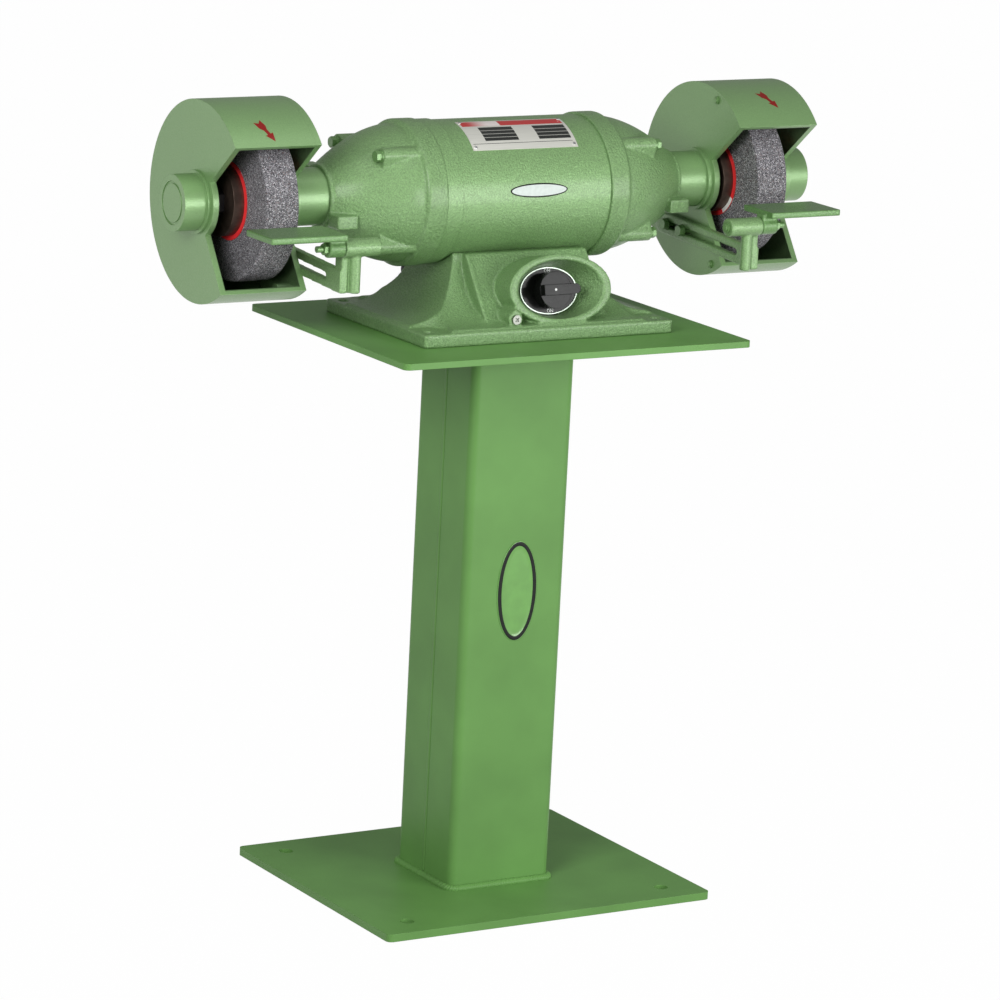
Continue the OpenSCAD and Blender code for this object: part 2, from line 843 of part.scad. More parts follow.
module bell_section() {
    curve_x0 = shell_half_l + bell_rim_l;
    curve_x1 = bell_end - bell_nose_l;
    bearing_start = bearing_end - bearing_w;
    polygon(concat(
        [[shell_r - shell_wall, shell_half_l], [bell_rim_r, shell_half_l],
            [bell_rim_r, curve_x0 - bell_rim_round], [bell_rim_r - bell_rim_round, curve_x0]],
        [for (i = [0 : bell_curve_steps]) let (s = i / bell_curve_steps)
            [bell_radius(s), curve_x0 + (curve_x1 - curve_x0) * s]],
        [[bell_nose_r, bell_end], [nose_bore_r, bell_end],
            [nose_bore_r, bearing_end], [bearing_d / 2, bearing_end],
            [bearing_d / 2, bearing_start - bearing_shoulder_t],
            [bearing_d / 2 + hub_wall, bearing_start - bearing_shoulder_t],
            [bearing_d / 2 + hub_wall, bearing_start],
            [bell_shoulder_r - bell_wall, curve_x0 - bell_wall]]));
}

// Section of a bolt boss, its top towards +X: a round top with two sloping flanks
module bell_boss() {
    base_half_w = (bell_boss_r + bell_boss_depth * sin(bell_boss_flank)) / cos(bell_boss_flank);
    flank_x = bell_boss_r * sin(bell_boss_flank);
    flank_y = bell_boss_r * cos(bell_boss_flank);
    circle(bell_boss_r);
    polygon([[flank_x, flank_y], [-bell_boss_depth, base_half_w],
        [-bell_boss_depth, -base_half_w], [flank_x, -flank_y]]);
}

// Right end bell; the left one is its mirror image
module bell() {
    boss_end = shell_half_l + bell_boss_l;
    difference() {
        union() {
            turned() bell_section();
            slab(shell_half_l, boss_end) for (up = [45, 135, 225, 315])
                rotate(up) translate([bell_bolt_circle_r, 0]) bell_boss();
            for (turn = [0, 180]) translate([0, axis_y, axis_z]) rotate([turn, 0, 0])
                translate([bell_end - bell_lug_l, -bell_lug_reach, -bell_lug_drop - bell_lug_h])
                    cube([bell_lug_l, bell_lug_w, bell_lug_h]);
        }
        for (up = [45, 135, 225, 315]) {
            out = bell_bolt_circle_r * cos(up);
            rise = bell_bolt_circle_r * sin(up);
            rod(m8 * hole_share / 2, shell_half_l - over, boss_end + over, out, rise);
            rod(bell_spot_r, boss_end, bell_end, out, rise);
        }
        for (up = hub_screw_angles)
            rod(m6 / 2 + fit, bell_end - hub_screw_bite - over, bell_end + over,
                hub_screw_circle_r * cos(up), hub_screw_circle_r * sin(up));
    }
}

module left_end_bell() {
    color(paint) end(-1) bell();
}

module right_end_bell() {
    color(paint) end(1) bell();
}

module bell_bolts() {
    stack_t = m8 * washer_t_share + spring_washer_t;
    color(steel) at_bell_bolts(shell_half_l + bell_boss_l + stack_t)
        hex_bolt(m8, bell_boss_l + stack_t + bell_bolt_bite);
}

// A plain washer with a spring washer on it, under each bell bolt
module bell_washers() {
    plain_t = m8 * washer_t_share;
    color(steel) at_bell_bolts(shell_half_l + bell_boss_l) {
        washer(m8, plain_t);
        translate([0, 0, plain_t - fit]) washer(m8, spring_washer_t + fit, spring_washer_d_share);
    }
}

module stator_core() {
    color(dark_steel) difference() {
        rod(shell_r - shell_wall - fit, -core_half_l, core_half_l);
        rod(rotor_r + air_gap, -core_half_l - over, core_half_l + over);
        for (i = [0 : slot_count - 1]) let (turn = 360 * i / slot_count)
            rod(slot_r, -core_half_l - over, core_half_l + over,
                (coil_r_in + slot_r) * cos(turn), (coil_r_in + slot_r) * sin(turn));
    }
}

module stator_windings() {
    round_r = (coil_r_out - coil_r_in) / 2;
    color(copper) for (side = [-1, 1]) end(side) turned() {
        translate([coil_r_in, core_half_l]) square([round_r * 2, coil_l - round_r]);
        translate([coil_r_in + round_r, core_half_l + coil_l - round_r]) circle(round_r);
    }
}

module rotor() {
    color(dark_steel) difference() {
        rod(rotor_r, -core_half_l, core_half_l);
        rod(shaft_mid_d / 2 + fit, -core_half_l - over, core_half_l + over);
    }
}

// Half of the spindle's outline, as (radius, x)
module spindle_shaft() {
    bearing_start = bearing_end - bearing_w;
    seat_r = bearing_bore_d / 2;
    tip_r = wheel_seat_d / 2;
    tip_chamfer = 1.5;
    color(steel) turned() polygon([
        [0, -shaft_end], [tip_r - tip_chamfer, -shaft_end], [tip_r, -shaft_end + tip_chamfer],
        [tip_r, -clamp_in], [seat_r, -clamp_in], [seat_r, -bearing_start],
        [shaft_mid_d / 2, -bearing_start], [shaft_mid_d / 2, bearing_start], [seat_r, bearing_start],
        [seat_r, clamp_in], [tip_r, clamp_in], [tip_r, shaft_end - tip_chamfer],
        [tip_r - tip_chamfer, shaft_end], [0, shaft_end]]);
}

// Bearings: a ring's raceway is half a ball deep less the gap
module race_ring(r_in, r_out) {
    pitch_r = (bearing_bore_d + bearing_d) / 4;
    color(steel) for (side = [-1, 1]) end(side) turned() difference() {
        translate([r_in, bearing_end - bearing_w]) square([r_out - r_in, bearing_w]);
        translate([pitch_r, bearing_end - bearing_w / 2]) circle(d = ball_d + ball_gap * 2);
    }
}

module bearing_outer_rings() {
    race_ring(bearing_d / 2 - bearing_wall, bearing_d / 2 - fit);
}

module bearing_inner_rings() {
    race_ring(bearing_bore_d / 2 + fit, bearing_bore_d / 2 + bearing_inner_wall);
}

module bearing_balls() {
    pitch_r = (bearing_bore_d + bearing_d) / 4;
    color(steel) for (side = [-1, 1]) end(side) for (i = [0 : ball_count - 1]) let (turn = 360 * i / ball_count)
        translate([bearing_end - bearing_w / 2, axis_y + pitch_r * cos(turn), axis_z + pitch_r * sin(turn)])
            sphere(d = ball_d);
}

module bearing_seals() {
    inner_r = bearing_bore_d / 2 + bearing_inner_wall + ball_gap;
    outer_r = bearing_d / 2 - bearing_wall;
    color(black) for (side = [-1, 1], x = [bearing_end - bearing_w, bearing_end - seal_t]) end(side)
        turned() translate([inner_r, x]) square([outer_r - inner_r, seal_t]);
}

module preload_spring() {
    start = bearing_end - bearing_w - spring_t;
    color(steel) end(-1) turned() translate([bearing_d / 2 - spring_w - fit, start]) square([spring_w, spring_t]);
}

// Curved plate on the motor shell, between two angles above the horizontal, towards the user
module shell_patch(t, up0, up1, x0, x1) {
    translate([0, axis_y, axis_z]) rotate([180 - up1, 0, 0]) rotate([90, 0, 90])
        rotate_extrude(angle = up1 - up0) translate([shell_r + fit, x0]) square([t, x1 - x0]);
}

module nameplate() {
    color(aluminium) shell_patch(plate_t, plate_low_angle, plate_high_angle, plate_x0, plate_x1);
}

module nameplate_rivets() {
    inset_turn = rivet_inset / shell_r * 180 / PI;
    color(steel) for (x = [plate_x0 + rivet_inset, plate_x1 - rivet_inset],
        up = [plate_low_angle + inset_turn, plate_high_angle - inset_turn])
        translate([x, axis_y, axis_z]) rotate([90 - up, 0, 0])
            translate([0, 0, shell_r + plate_t + rivet_seat]) cylinder(r = rivet_r, h = rivet_h);
}

module motor_badge() {
    color(white) intersection() {
        shell_patch(shell_badge_t, -shell_badge_angle * 3, shell_badge_angle * 5,
            shell_badge_x - shell_badge_w, shell_badge_x + shell_badge_w);
        translate([shell_badge_x, axis_y, axis_z]) rotate([90 - shell_badge_angle, 0, 0])
            linear_extrude(shell_r * 2) oval(shell_badge_w, shell_badge_h);
    }
}

// Spindle ends, drawn for the right end

module clamp(x0, x1, relief_x) {
    difference() {
        rod(clamp_d / 2, x0, x1);
        rod(wheel_seat_d / 2 + fit, x0 - over, x1 + over);
        rod(clamp_d / 2 * clamp_relief_share, relief_x, relief_x + clamp_relief_t);
    }
}

module inner_clamp_flanges() {
    x1 = wheel_x0 - blotter_t;
    color(dark_steel) for (side = [-1, 1]) end(side) clamp(clamp_in, x1, x1 - clamp_relief_t);
}

module outer_clamp_flanges() {
    x0 = wheel_x1 + blotter_t;
    color(dark_steel) for (side = [-1, 1]) end(side) clamp(x0, clamp_out, x0);
}

module wheel() {
    color(grit) difference() {
        rod(wheel_d / 2, wheel_x0, wheel_x1);
        rod(wheel_seat_d / 2 + fit, wheel_x0 - over, wheel_x1 + over);
    }
}

module left_wheel() {
    end(-1) wheel();
}

module right_wheel() {
    end(1) wheel();
}

module blotters() {
    color(paper) for (side = [-1, 1], x = [wheel_x0 - blotter_t, wheel_x1]) end(side) difference() {
        rod(blotter_d / 2, x, x + blotter_t);
        rod(wheel_seat_d / 2 + fit, x - over, x + blotter_t + over);
    }
}

module spindle_nut() {
    color(steel) translate([clamp_out, axis_y, axis_z]) rotate([0, 90, 0]) difference() {
        hex_head(nut_af, nut_t);
        translate([0, 0, -over]) cylinder(d = wheel_seat_d + fit * 2, h = nut_t + over * 2);
    }
}

module left_spindle_nut() {
    end(-1) spindle_nut();
}

module right_spindle_nut() {
    end(1) spindle_nut();
}

// Wheel guards, drawn for the right end

// The mouth's outline, as (out, up)
module mouth() {
    reach = guard_r * 2;
    polygon([[0, 0], [reach * cos(mouth_up), reach * sin(mouth_up)],
        [reach * 2, 0], [reach * cos(mouth_down), -reach * sin(mouth_down)]]);
}

module guard_plate() {
    color(paint) difference() {
        union() {
            difference() {
                rod(guard_r, guard_x0, guard_x1);
                slab(guard_x0 - over, guard_x1 + over) mouth();
            }
            rod(hub_disc_r, guard_x0, guard_x1);
            rod(tube_ring_r, guard_x0 - tube_ring_l, guard_x1);
            rod(tube_r, bell_end, guard_x1);
        }
        rod(nose_bore_r, bell_end - over, guard_x1 + over);
        for (up = hub_screw_angles) {
            out = hub_screw_circle_r * cos(up);
            rise = hub_screw_circle_r * sin(up);
            rod(m6 * hole_share / 2, bell_end - over, guard_x1 + over, out, rise);
            rod(m6 * socket_head_share / 2 + fit, guard_x1 - m6, guard_x1 + over, out, rise);
        }
        for (up = guard_screw_angles)
            rod(m6 * hole_share / 2, guard_x0 - over, guard_x1 + over,
                guard_screw_circle_r * cos(up), guard_screw_circle_r * sin(up));
        for (out = arm_bolt_out)
            rod(m8 / 2 + fit, guard_x0 - over, guard_x1 + over, out, arm_line(out));
    }
}

module guard_cover() {
    color(paint) difference() {
        union() {
            difference() {
                rod(guard_r, guard_x1 + fit, guard_x3);
                rod(guard_r - guard_rim_t, guard_x1 - over, guard_x2);
                slab(guard_x1 - over, guard_x3 + over) mouth();
            }
            rod(hub_disc_r, guard_x2, guard_x3);
            intersection() {
                rod(guard_r - guard_rim_t / 2, guard_x1 + fit, guard_x1 + guard_lug_l);
                for (up = guard_screw_angles)
                    rod(guard_lug_r, guard_x1 + fit, guard_x1 + guard_lug_l,
                        guard_screw_circle_r * cos(up), guard_screw_circle_r * sin(up));
            }
        }
        rod(cap_r - cap_wall + fit, guard_x2 - over, guard_x3 + over);
        for (up = guard_screw_angles)
            rod(m6 / 2 + fit, guard_x1 - over, guard_x1 + guard_lug_l - guard_side_t,
                guard_screw_circle_r * cos(up), guard_screw_circle_r * sin(up));
    }
}

// Cap over the spindle's end, pressed into the guard's face
module spindle_cap() {
    color(paint) difference() {
        union() {
            rod(cap_r - cap_wall, guard_x2, guard_x3 + cap_step_l);
            rod(cap_step_r, guard_x3, guard_x3 + cap_step_l);
            rod(cap_r, guard_x3, guard_x3 + cap_l);
        }
        rod(cap_r - cap_wall * 2, guard_x2 - over, guard_x3 + cap_l - cap_face_t);
        difference() {
            rod(cap_dish_r, guard_x3 + cap_l - cap_dish_t, guard_x3 + cap_l + over);
            rod(cap_dish_r - cap_dish_t * 2, guard_x3 + cap_l - cap_dish_t, guard_x3 + cap_l + over);
        }
    }
}

module left_guard_plate() {
    end(-1) guard_plate();
}

module left_guard_cover() {
    end(-1) guard_cover();
}

module right_guard_plate() {
    end(1) guard_plate();
}

module right_guard_cover() {
    end(1) guard_cover();
}

module left_spindle_cap() {
    end(-1) spindle_cap();
}

module right_spindle_cap() {
    end(1) spindle_cap();
}

module guard_screws() {
    shank_l = guard_side_t + guard_lug_l - guard_side_t * 2;
    color(steel) for (side = [-1, 1]) end(side) for (up = guard_screw_angles) {
        out = guard_screw_circle_r * cos(up);
        rise = guard_screw_circle_r * sin(up);
        rod(pan_head_r, guard_x0 - pan_head_t + pan_crown_t, guard_x0, out, rise);
        rod(pan_head_r - pan_crown_t, guard_x0 - pan_head_t, guard_x0, out, rise);
        rod(m6 / 2, guard_x0 - fit, guard_x0 + shank_l, out, rise);
    }
}

module guard_hub_screws() {
    color(dark_steel) for (side = [-1, 1]) end(side) for (up = hub_screw_angles) {
        out = hub_screw_circle_r * cos(up);
        rise = hub_screw_circle_r * sin(up);
        rod(m6 * socket_head_share / 2, guard_x1 - m6, guard_x1 - fit, out, rise);
        rod(m6 / 2, bell_end - hub_screw_bite, guard_x1 - m6 + fit, out, rise);
    }
}

// Tool rests, drawn for the right end

// Height of the arm's middle line at a place out from the spindle
function arm_line(out) = arm_up - out * tan(arm_slope);

// Bar with round ends along the arm's middle line, drawn as (out, up)
module arm_bar(out0, out1, h) {
    run = (out1 - out0) / cos(arm_slope);
    translate([out0, arm_line(out0)]) rotate(-arm_slope) {
        translate([0, -h / 2]) square([run, h]);
        circle(d = h);
        translate([run, 0]) circle(d = h);
    }
}

module rest_arm() {
    foot_up = arm_line(pivot_out) - arm_h / 2;
    color(paint) difference() {
        union() {
            slab(arm_x0, guard_x0 - fit) difference() {
                arm_bar(arm_back + arm_h / 2, pivot_out, arm_h);
                translate([pivot_out, arm_line(pivot_out) - arm_h]) square(arm_h * 2);
            }
            slab(arm_x0, tee_x1)
                translate([pivot_out - upright_d, foot_up]) square([upright_d, pivot_up - foot_up]);
            slab(post_x, arm_x0 + over)
                translate([pivot_out - post_r, foot_up]) square([post_r - upright_groove, pivot_up - foot_up]);
            translate([post_x, axis_y - pivot_out, axis_z + foot_up])
                cylinder(r = post_r, h = pivot_up - foot_up);
            rod(tee_r, tee_x0, tee_x1, pivot_out, pivot_up);
        }
        slab(arm_x0 - over, guard_x0 + over)
            arm_bar(slot_out0 + slot_w / 2, slot_out1 - slot_w / 2, slot_w);
        rod(m8 / 2 + fit, tee_x0 - over, tee_x1 + over, pivot_out, pivot_up);
    }
}

module tool_rest() {
    x0 = tee_x1 + knuckle_gap;
    x1 = x0 + knuckle_l;
    color(paint) difference() {
        union() {
            slab(rest_x0, rest_x0 + rest_l)
                translate([rest_edge_out, -rest_drop - rest_t]) square([rest_d, rest_t]);
            rod(knuckle_r, x0, x1, pivot_out, pivot_up);
            slab(x0, x1) translate([pivot_out - knuckle_web / 2, pivot_up])
                square([knuckle_web, -rest_drop - rest_t / 2 - pivot_up]);
        }
        rod(m8 / 2 + fit, x0 - over, x1 + over, pivot_out, pivot_up);
    }
}

module pivot_bolt() {
    tail = tee_x1 + knuckle_gap + knuckle_l + pivot_thread_l;
    color(steel) {
        rod(m8 / 2, tee_x0 - fit, tail, pivot_out, pivot_up);
        rod(pivot_head_r, tee_x0 - pivot_head_t / 2, tee_x0, pivot_out, pivot_up);
        rod(pivot_head_r - pivot_head_t / 2, tee_x0 - pivot_head_t, tee_x0, pivot_out, pivot_up);
    }
}

module pivot_nut() {
    x0 = tee_x1 + knuckle_gap * 2 + knuckle_l;
    color(steel) translate([x0, axis_y - pivot_out, axis_z + pivot_up]) rotate([0, 90, 0]) difference() {
        hex_head(m8 * head_af_share, m8 * head_h_share);
        translate([0, 0, -over]) cylinder(d = m8 + fit * 2, h = m8 + over * 2);
    }
}

module left_rest_arm() {
    end(-1) rest_arm();
}

module right_rest_arm() {
    end(1) rest_arm();
}

module left_tool_rest() {
    end(-1) tool_rest();
}

module right_tool_rest() {
    end(1) tool_rest();
}

module left_pivot_bolt() {
    end(-1) pivot_bolt();
}

module right_pivot_bolt() {
    end(1) pivot_bolt();
}

module left_pivot_nut() {
    end(-1) pivot_nut();
}

module right_pivot_nut() {
    end(1) pivot_nut();
}

// Clamp bolts of the arms, screwed into the guard's motor-side plate
module arm_bolts() {
    washer_t = m8 * washer_t_share;
    color(steel) for (side = [-1, 1]) end(side) for (out = arm_bolt_out)
        translate([arm_x0 - washer_t - fit, axis_y - out, axis_z + arm_line(out)]) rotate([0, -90, 0])
            hex_bolt(m8, washer_t + arm_t + guard_side_t);
}

module arm_washers() {
    washer_t = m8 * washer_t_share;
    color(steel) for (side = [-1, 1]) end(side) for (out = arm_bolt_out)
        translate([arm_x0 - fit, axis_y - out, axis_z + arm_line(out)]) rotate([0, -90, 0]) washer(m8, washer_t);
}

base_plate();
base_weld();
column_front_channel();
column_rear_channel();
column_seam_welds();
top_weld();
top_plate();
column_badge();
mount_bolts();
mount_washers();
pedestal_casting();
shell_screws();
switch_body();
switch_dial();
dial_ring();
switch_knob();
earth_screw();
cable_gland();
motor_shell();
left_end_bell();
right_end_bell();
bell_bolts();
bell_washers();
stator_core();
stator_windings();
rotor();
spindle_shaft();
bearing_outer_rings();
bearing_inner_rings();
bearing_balls();
bearing_seals();
preload_spring();
nameplate();
nameplate_rivets();
motor_badge();
inner_clamp_flanges();
outer_clamp_flanges();
left_wheel();
right_wheel();
blotters();
left_spindle_nut();
right_spindle_nut();
left_guard_plate();
left_guard_cover();
right_guard_plate();
right_guard_cover();
left_spindle_cap();
right_spindle_cap();
guard_screws();
guard_hub_screws();
left_rest_arm();
right_rest_arm();
left_tool_rest();
right_tool_rest();
left_pivot_bolt();
right_pivot_bolt();
left_pivot_nut();
right_pivot_nut();
arm_bolts();
arm_washers();
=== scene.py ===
# A double-ended bench grinder on its welded pedestal stand, put together from the floor up.
# Lengths are in metres, angles in degrees. X runs along the spindle, the user stands at -Y.

import bpy, bmesh, math
from mathutils import Matrix, Vector, noise


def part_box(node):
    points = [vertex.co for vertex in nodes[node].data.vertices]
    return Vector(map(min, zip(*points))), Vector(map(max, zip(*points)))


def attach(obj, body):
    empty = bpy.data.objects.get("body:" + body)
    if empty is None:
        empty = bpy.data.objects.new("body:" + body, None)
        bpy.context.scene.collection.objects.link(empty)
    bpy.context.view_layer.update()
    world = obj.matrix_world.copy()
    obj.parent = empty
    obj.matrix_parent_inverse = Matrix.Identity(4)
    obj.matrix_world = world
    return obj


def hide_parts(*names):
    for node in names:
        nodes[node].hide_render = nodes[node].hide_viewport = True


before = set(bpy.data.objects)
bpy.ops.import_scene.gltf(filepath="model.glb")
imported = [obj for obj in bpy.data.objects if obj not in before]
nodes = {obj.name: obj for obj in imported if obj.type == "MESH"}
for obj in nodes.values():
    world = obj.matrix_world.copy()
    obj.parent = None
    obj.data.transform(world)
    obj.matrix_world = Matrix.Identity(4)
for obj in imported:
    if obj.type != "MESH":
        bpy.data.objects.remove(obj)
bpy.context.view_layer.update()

# Camera. A long lens stands well back, to the left of the machine and a little above it,
# and leans by about three degrees, as the photographer's did.
view_turn, view_rise, view_roll = math.radians(-31.41), math.radians(12.84), math.radians(2.88)
view_shift_x, view_shift_z, view_distance, view_reach = 0.0362, 0.4869, 6.330, 50
lens_mm, sensor_mm = 176.1, 36.0

back = Vector((math.sin(view_turn) * math.cos(view_rise), -math.cos(view_turn) * math.cos(view_rise),
               math.sin(view_rise)))
level_right = Vector((math.cos(view_turn), math.sin(view_turn), 0))
level_up = back.cross(level_right)
right = math.cos(view_roll) * level_right + math.sin(view_roll) * level_up
up = -math.sin(view_roll) * level_right + math.cos(view_roll) * level_up
camera_data = bpy.data.cameras.new("camera")
camera_data.lens, camera_data.sensor_width = lens_mm, sensor_mm
camera_data.clip_end = view_reach
camera = bpy.data.objects.new("camera", camera_data)
bpy.context.scene.collection.objects.link(camera)
place = view_shift_x * right + view_shift_z * up + view_distance * back
camera.matrix_world = Matrix.Translation(place) @ Matrix((right, up, back)).transposed().to_4x4()
bpy.context.scene.camera = camera
bpy.context.scene.view_settings.view_transform = "Standard"

# Floor. A pale seamless floor that the machine stands on. The camera sees it as near white,
# and it keeps the soft shadow round the base plate.
floor_half = 30.0
floor_white, floor_seen_white = 0.42, 0.99
floor_mesh = bpy.data.meshes.new("floor")
floor_mesh.from_pydata([(-floor_half, -floor_half, 0), (floor_half, -floor_half, 0),
                        (floor_half, floor_half, 0), (-floor_half, floor_half, 0)], [], [(0, 1, 2, 3)])
floor = bpy.data.objects.new("floor", floor_mesh)
bpy.context.scene.collection.objects.link(floor)


def new_material(name, colour, roughness, metallic=0.0, coat=0.0, specular=0.5):
    """A material, its node tree and its Principled shader."""
    made = bpy.data.materials.new(name)
    made.use_nodes = True
    tree = made.node_tree
    shader = tree.nodes["Principled BSDF"]
    shader.inputs["Base Color"].default_value = (*colour, 1)
    shader.inputs["Roughness"].default_value = roughness
    shader.inputs["Metallic"].default_value = metallic
    shader.inputs["Coat Weight"].default_value = coat
    shader.inputs["Specular IOR Level"].default_value = specular
    return made, tree, shader


def add(tree, kind, inputs=None, **settings):
    """One node. A tuple (node, socket name) as an input makes a link, anything else sets the value."""
    node = tree.nodes.new("ShaderNode" + kind)
    for key, value in settings.items():
        setattr(node, key, value)
    for key, value in (inputs or {}).items():
        if isinstance(value, tuple) and len(value) == 2 and hasattr(value[0], "outputs"):
            tree.links.new(value[0].outputs[value[1]], node.inputs[key])
        else:
            node.inputs[key].default_value = value
    return node


floor_paint, floor_tree, floor_shader = new_material("floor_paint", (floor_white,) * 3, roughness=0.9)
seen = add(floor_tree, "LightPath")
mirrored = add(floor_tree, "Math", {0: (seen, "Is Camera Ray"), 1: (seen, "Is Glossy Ray")},
               operation="MAXIMUM")
lit = add(floor_tree, "Math", {0: (mirrored, 0), 1: floor_seen_white}, operation="MULTIPLY")
glow = add(floor_tree, "Emission", {"Color": (1, 1, 1, 1), "Strength": 1.0})
floor_mix = add(floor_tree, "MixShader", {0: (lit, 0), 1: (floor_shader, 0), 2: (glow, 0)})
floor_tree.links.new(floor_mix.outputs[0], floor_tree.nodes["Material Output"].inputs[0])
floor_mesh.materials.append(floor_paint)

# Studio light. A dim white room for fill, a soft box level with the motor in front, smaller
# ones on the left and overhead, so that upright faces are lighter than the ones that look up.
room_light = 0.27
world = bpy.data.worlds.new("room")
bpy.context.scene.world = world
world.use_nodes = True
room = world.node_tree
room_seen = add(room, "LightPath")
room_direct = add(room, "Math", {0: (room_seen, "Is Camera Ray"),
                                 1: (room_seen, "Is Transmission Ray")}, operation="MAXIMUM")
room_plain = room.nodes["Background"]
room_plain.inputs["Color"].default_value = (1, 1, 1, 1)
room_plain.inputs["Strength"].default_value = room_light
room_white = add(room, "Background", {"Color": (1, 1, 1, 1), "Strength": 1.0})
room_mix = add(room, "MixShader", {0: (room_direct, 0), 1: (room_plain, 0), 2: (room_white, 0)})
room.links.new(room_mix.outputs[0], room.nodes["World Output"].inputs[0])

soft_boxes = {  # place, aim, width, height, power
    "front_box": ((1.15, -2.7, 0.95), (0, 0, 0.80), 1.9, 1.3, 62),
    "left_box": ((-1.8, -1.2, 1.5), (-0.3, 0, 0.75), 1.0, 1.0, 32),
    "top_box": ((-0.2, -0.6, 2.5), (0, 0, 0.9), 1.6, 1.2, 9),
}
for name, (spot, aim, width, height, power) in soft_boxes.items():
    lamp = bpy.data.lights.new(name, "AREA")
    lamp.shape, lamp.size, lamp.size_y, lamp.energy = "RECTANGLE", width, height, power
    soft_box = bpy.data.objects.new(name, lamp)
    bpy.context.scene.collection.objects.link(soft_box)
    soft_box.location = spot
    soft_box.rotation_euler = (Vector(aim) - Vector(spot)).to_track_quat("-Z", "Y").to_euler()

# Stand paint. Semi-gloss green enamel rolled over hot-rolled plate: it is nearly flat, with
# a faint orange peel, small changes of tone and a thin clear gloss.
stand_green = (0.120, 0.276, 0.070)
edge_samples = 6


def object_place(tree):
    """The object's own coordinates, as an input for a pattern."""
    return add(tree, "TexCoord"), "Object"


def object_noise(tree, scale, detail=2.0, roughness=0.5):
    """Noise on the object's own coordinates; scale is in features per metre."""
    return add(tree, "TexNoise", {"Vector": object_place(tree), "Scale": scale, "Detail": detail,
                                  "Roughness": roughness})


def add_bump(tree, shader, height, depth, edge=0.0009):
    """Bump over slightly rounded edges."""
    soft_edge = add(tree, "Bevel", {"Radius": edge}, samples=edge_samples)
    bump = add(tree, "Bump", {"Height": height, "Distance": depth, "Strength": 1.0,
                              "Normal": (soft_edge, 0)})
    tree.links.new(bump.outputs[0], shader.inputs["Normal"])


def mottled(tree, shader, colour, source, dark, light, low=0.3, high=0.7):
    """Base colour that wanders between a darker and a lighter tone of itself."""
    tone = add(tree, "MapRange", {"Value": source, "From Min": low, "From Max": high, "To Min": dark,
                                  "To Max": light})
    tint = add(tree, "HueSaturation", {"Color": (*colour, 1), "Value": (tone, 0)})
    tree.links.new(tint.outputs[0], shader.inputs["Base Color"])


def roughness_between(tree, shader, source, low, high):
    """Roughness that follows a pattern, as worn or wiped metal does."""
    spread = add(tree, "MapRange", {"Value": source, "To Min": low, "To Max": high})
    tree.links.new(spread.outputs[0], shader.inputs["Roughness"])


def dress(names, material):
    """Give CAD pieces their material."""
    for name in names:
        nodes[name].data.materials.clear()
        nodes[name].data.materials.append(material)


stand_paint, tree, shader = new_material("stand_enamel", stand_green, roughness=0.44, specular=0.25)
mottled(tree, shader, stand_green, (object_noise(tree, 9, detail=3), 0), dark=0.90, light=1.10)
add_bump(tree, shader, (object_noise(tree, 380, detail=2), 0), depth=0.00008)
dress(("base_plate", "column_front_channel", "column_rear_channel", "column_seam_welds", "top_plate"),
      stand_paint)

# Welds. Hand-run fillet beads join the column to both plates. Each bead is a row of small
# overlapping ripples, painted over with the stand.
column_low, column_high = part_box("column_front_channel")
column_half_w, column_half_d = column_high[0], -column_low[1]
column_corner_r, corner_steps = 0.011, 8
weld_leg = 0.007
ball_radius, ball_inset = weld_leg * 0.80, weld_leg * 0.18
ripple_pitch, ripple_shape, ripple_lean = 0.0030, (0.62, 1.0, 1.0), math.radians(28)
ripple_least, ripple_most, ripple_seed, ripple_detail = 0.93, 1.06, 7, 3


def link_piece(name, mesh, material=None, smooth=True):
    """Make a piece from a mesh and put it in the scene."""
    piece = bpy.data.objects.new(name, mesh)
    bpy.context.scene.collection.objects.link(piece)
    if material is not None:
        mesh.materials.append(material)
    if smooth:
        mesh.shade_smooth()
    return piece


def settle(piece):
    """Turn what the modifiers make into the piece's plain mesh."""
    graph = bpy.context.evaluated_depsgraph_get()
    made = bpy.data.meshes.new_from_object(piece.evaluated_get(graph))
    piece.modifiers.clear()
    old = piece.data
    piece.data = made
    bpy.data.meshes.remove(old)


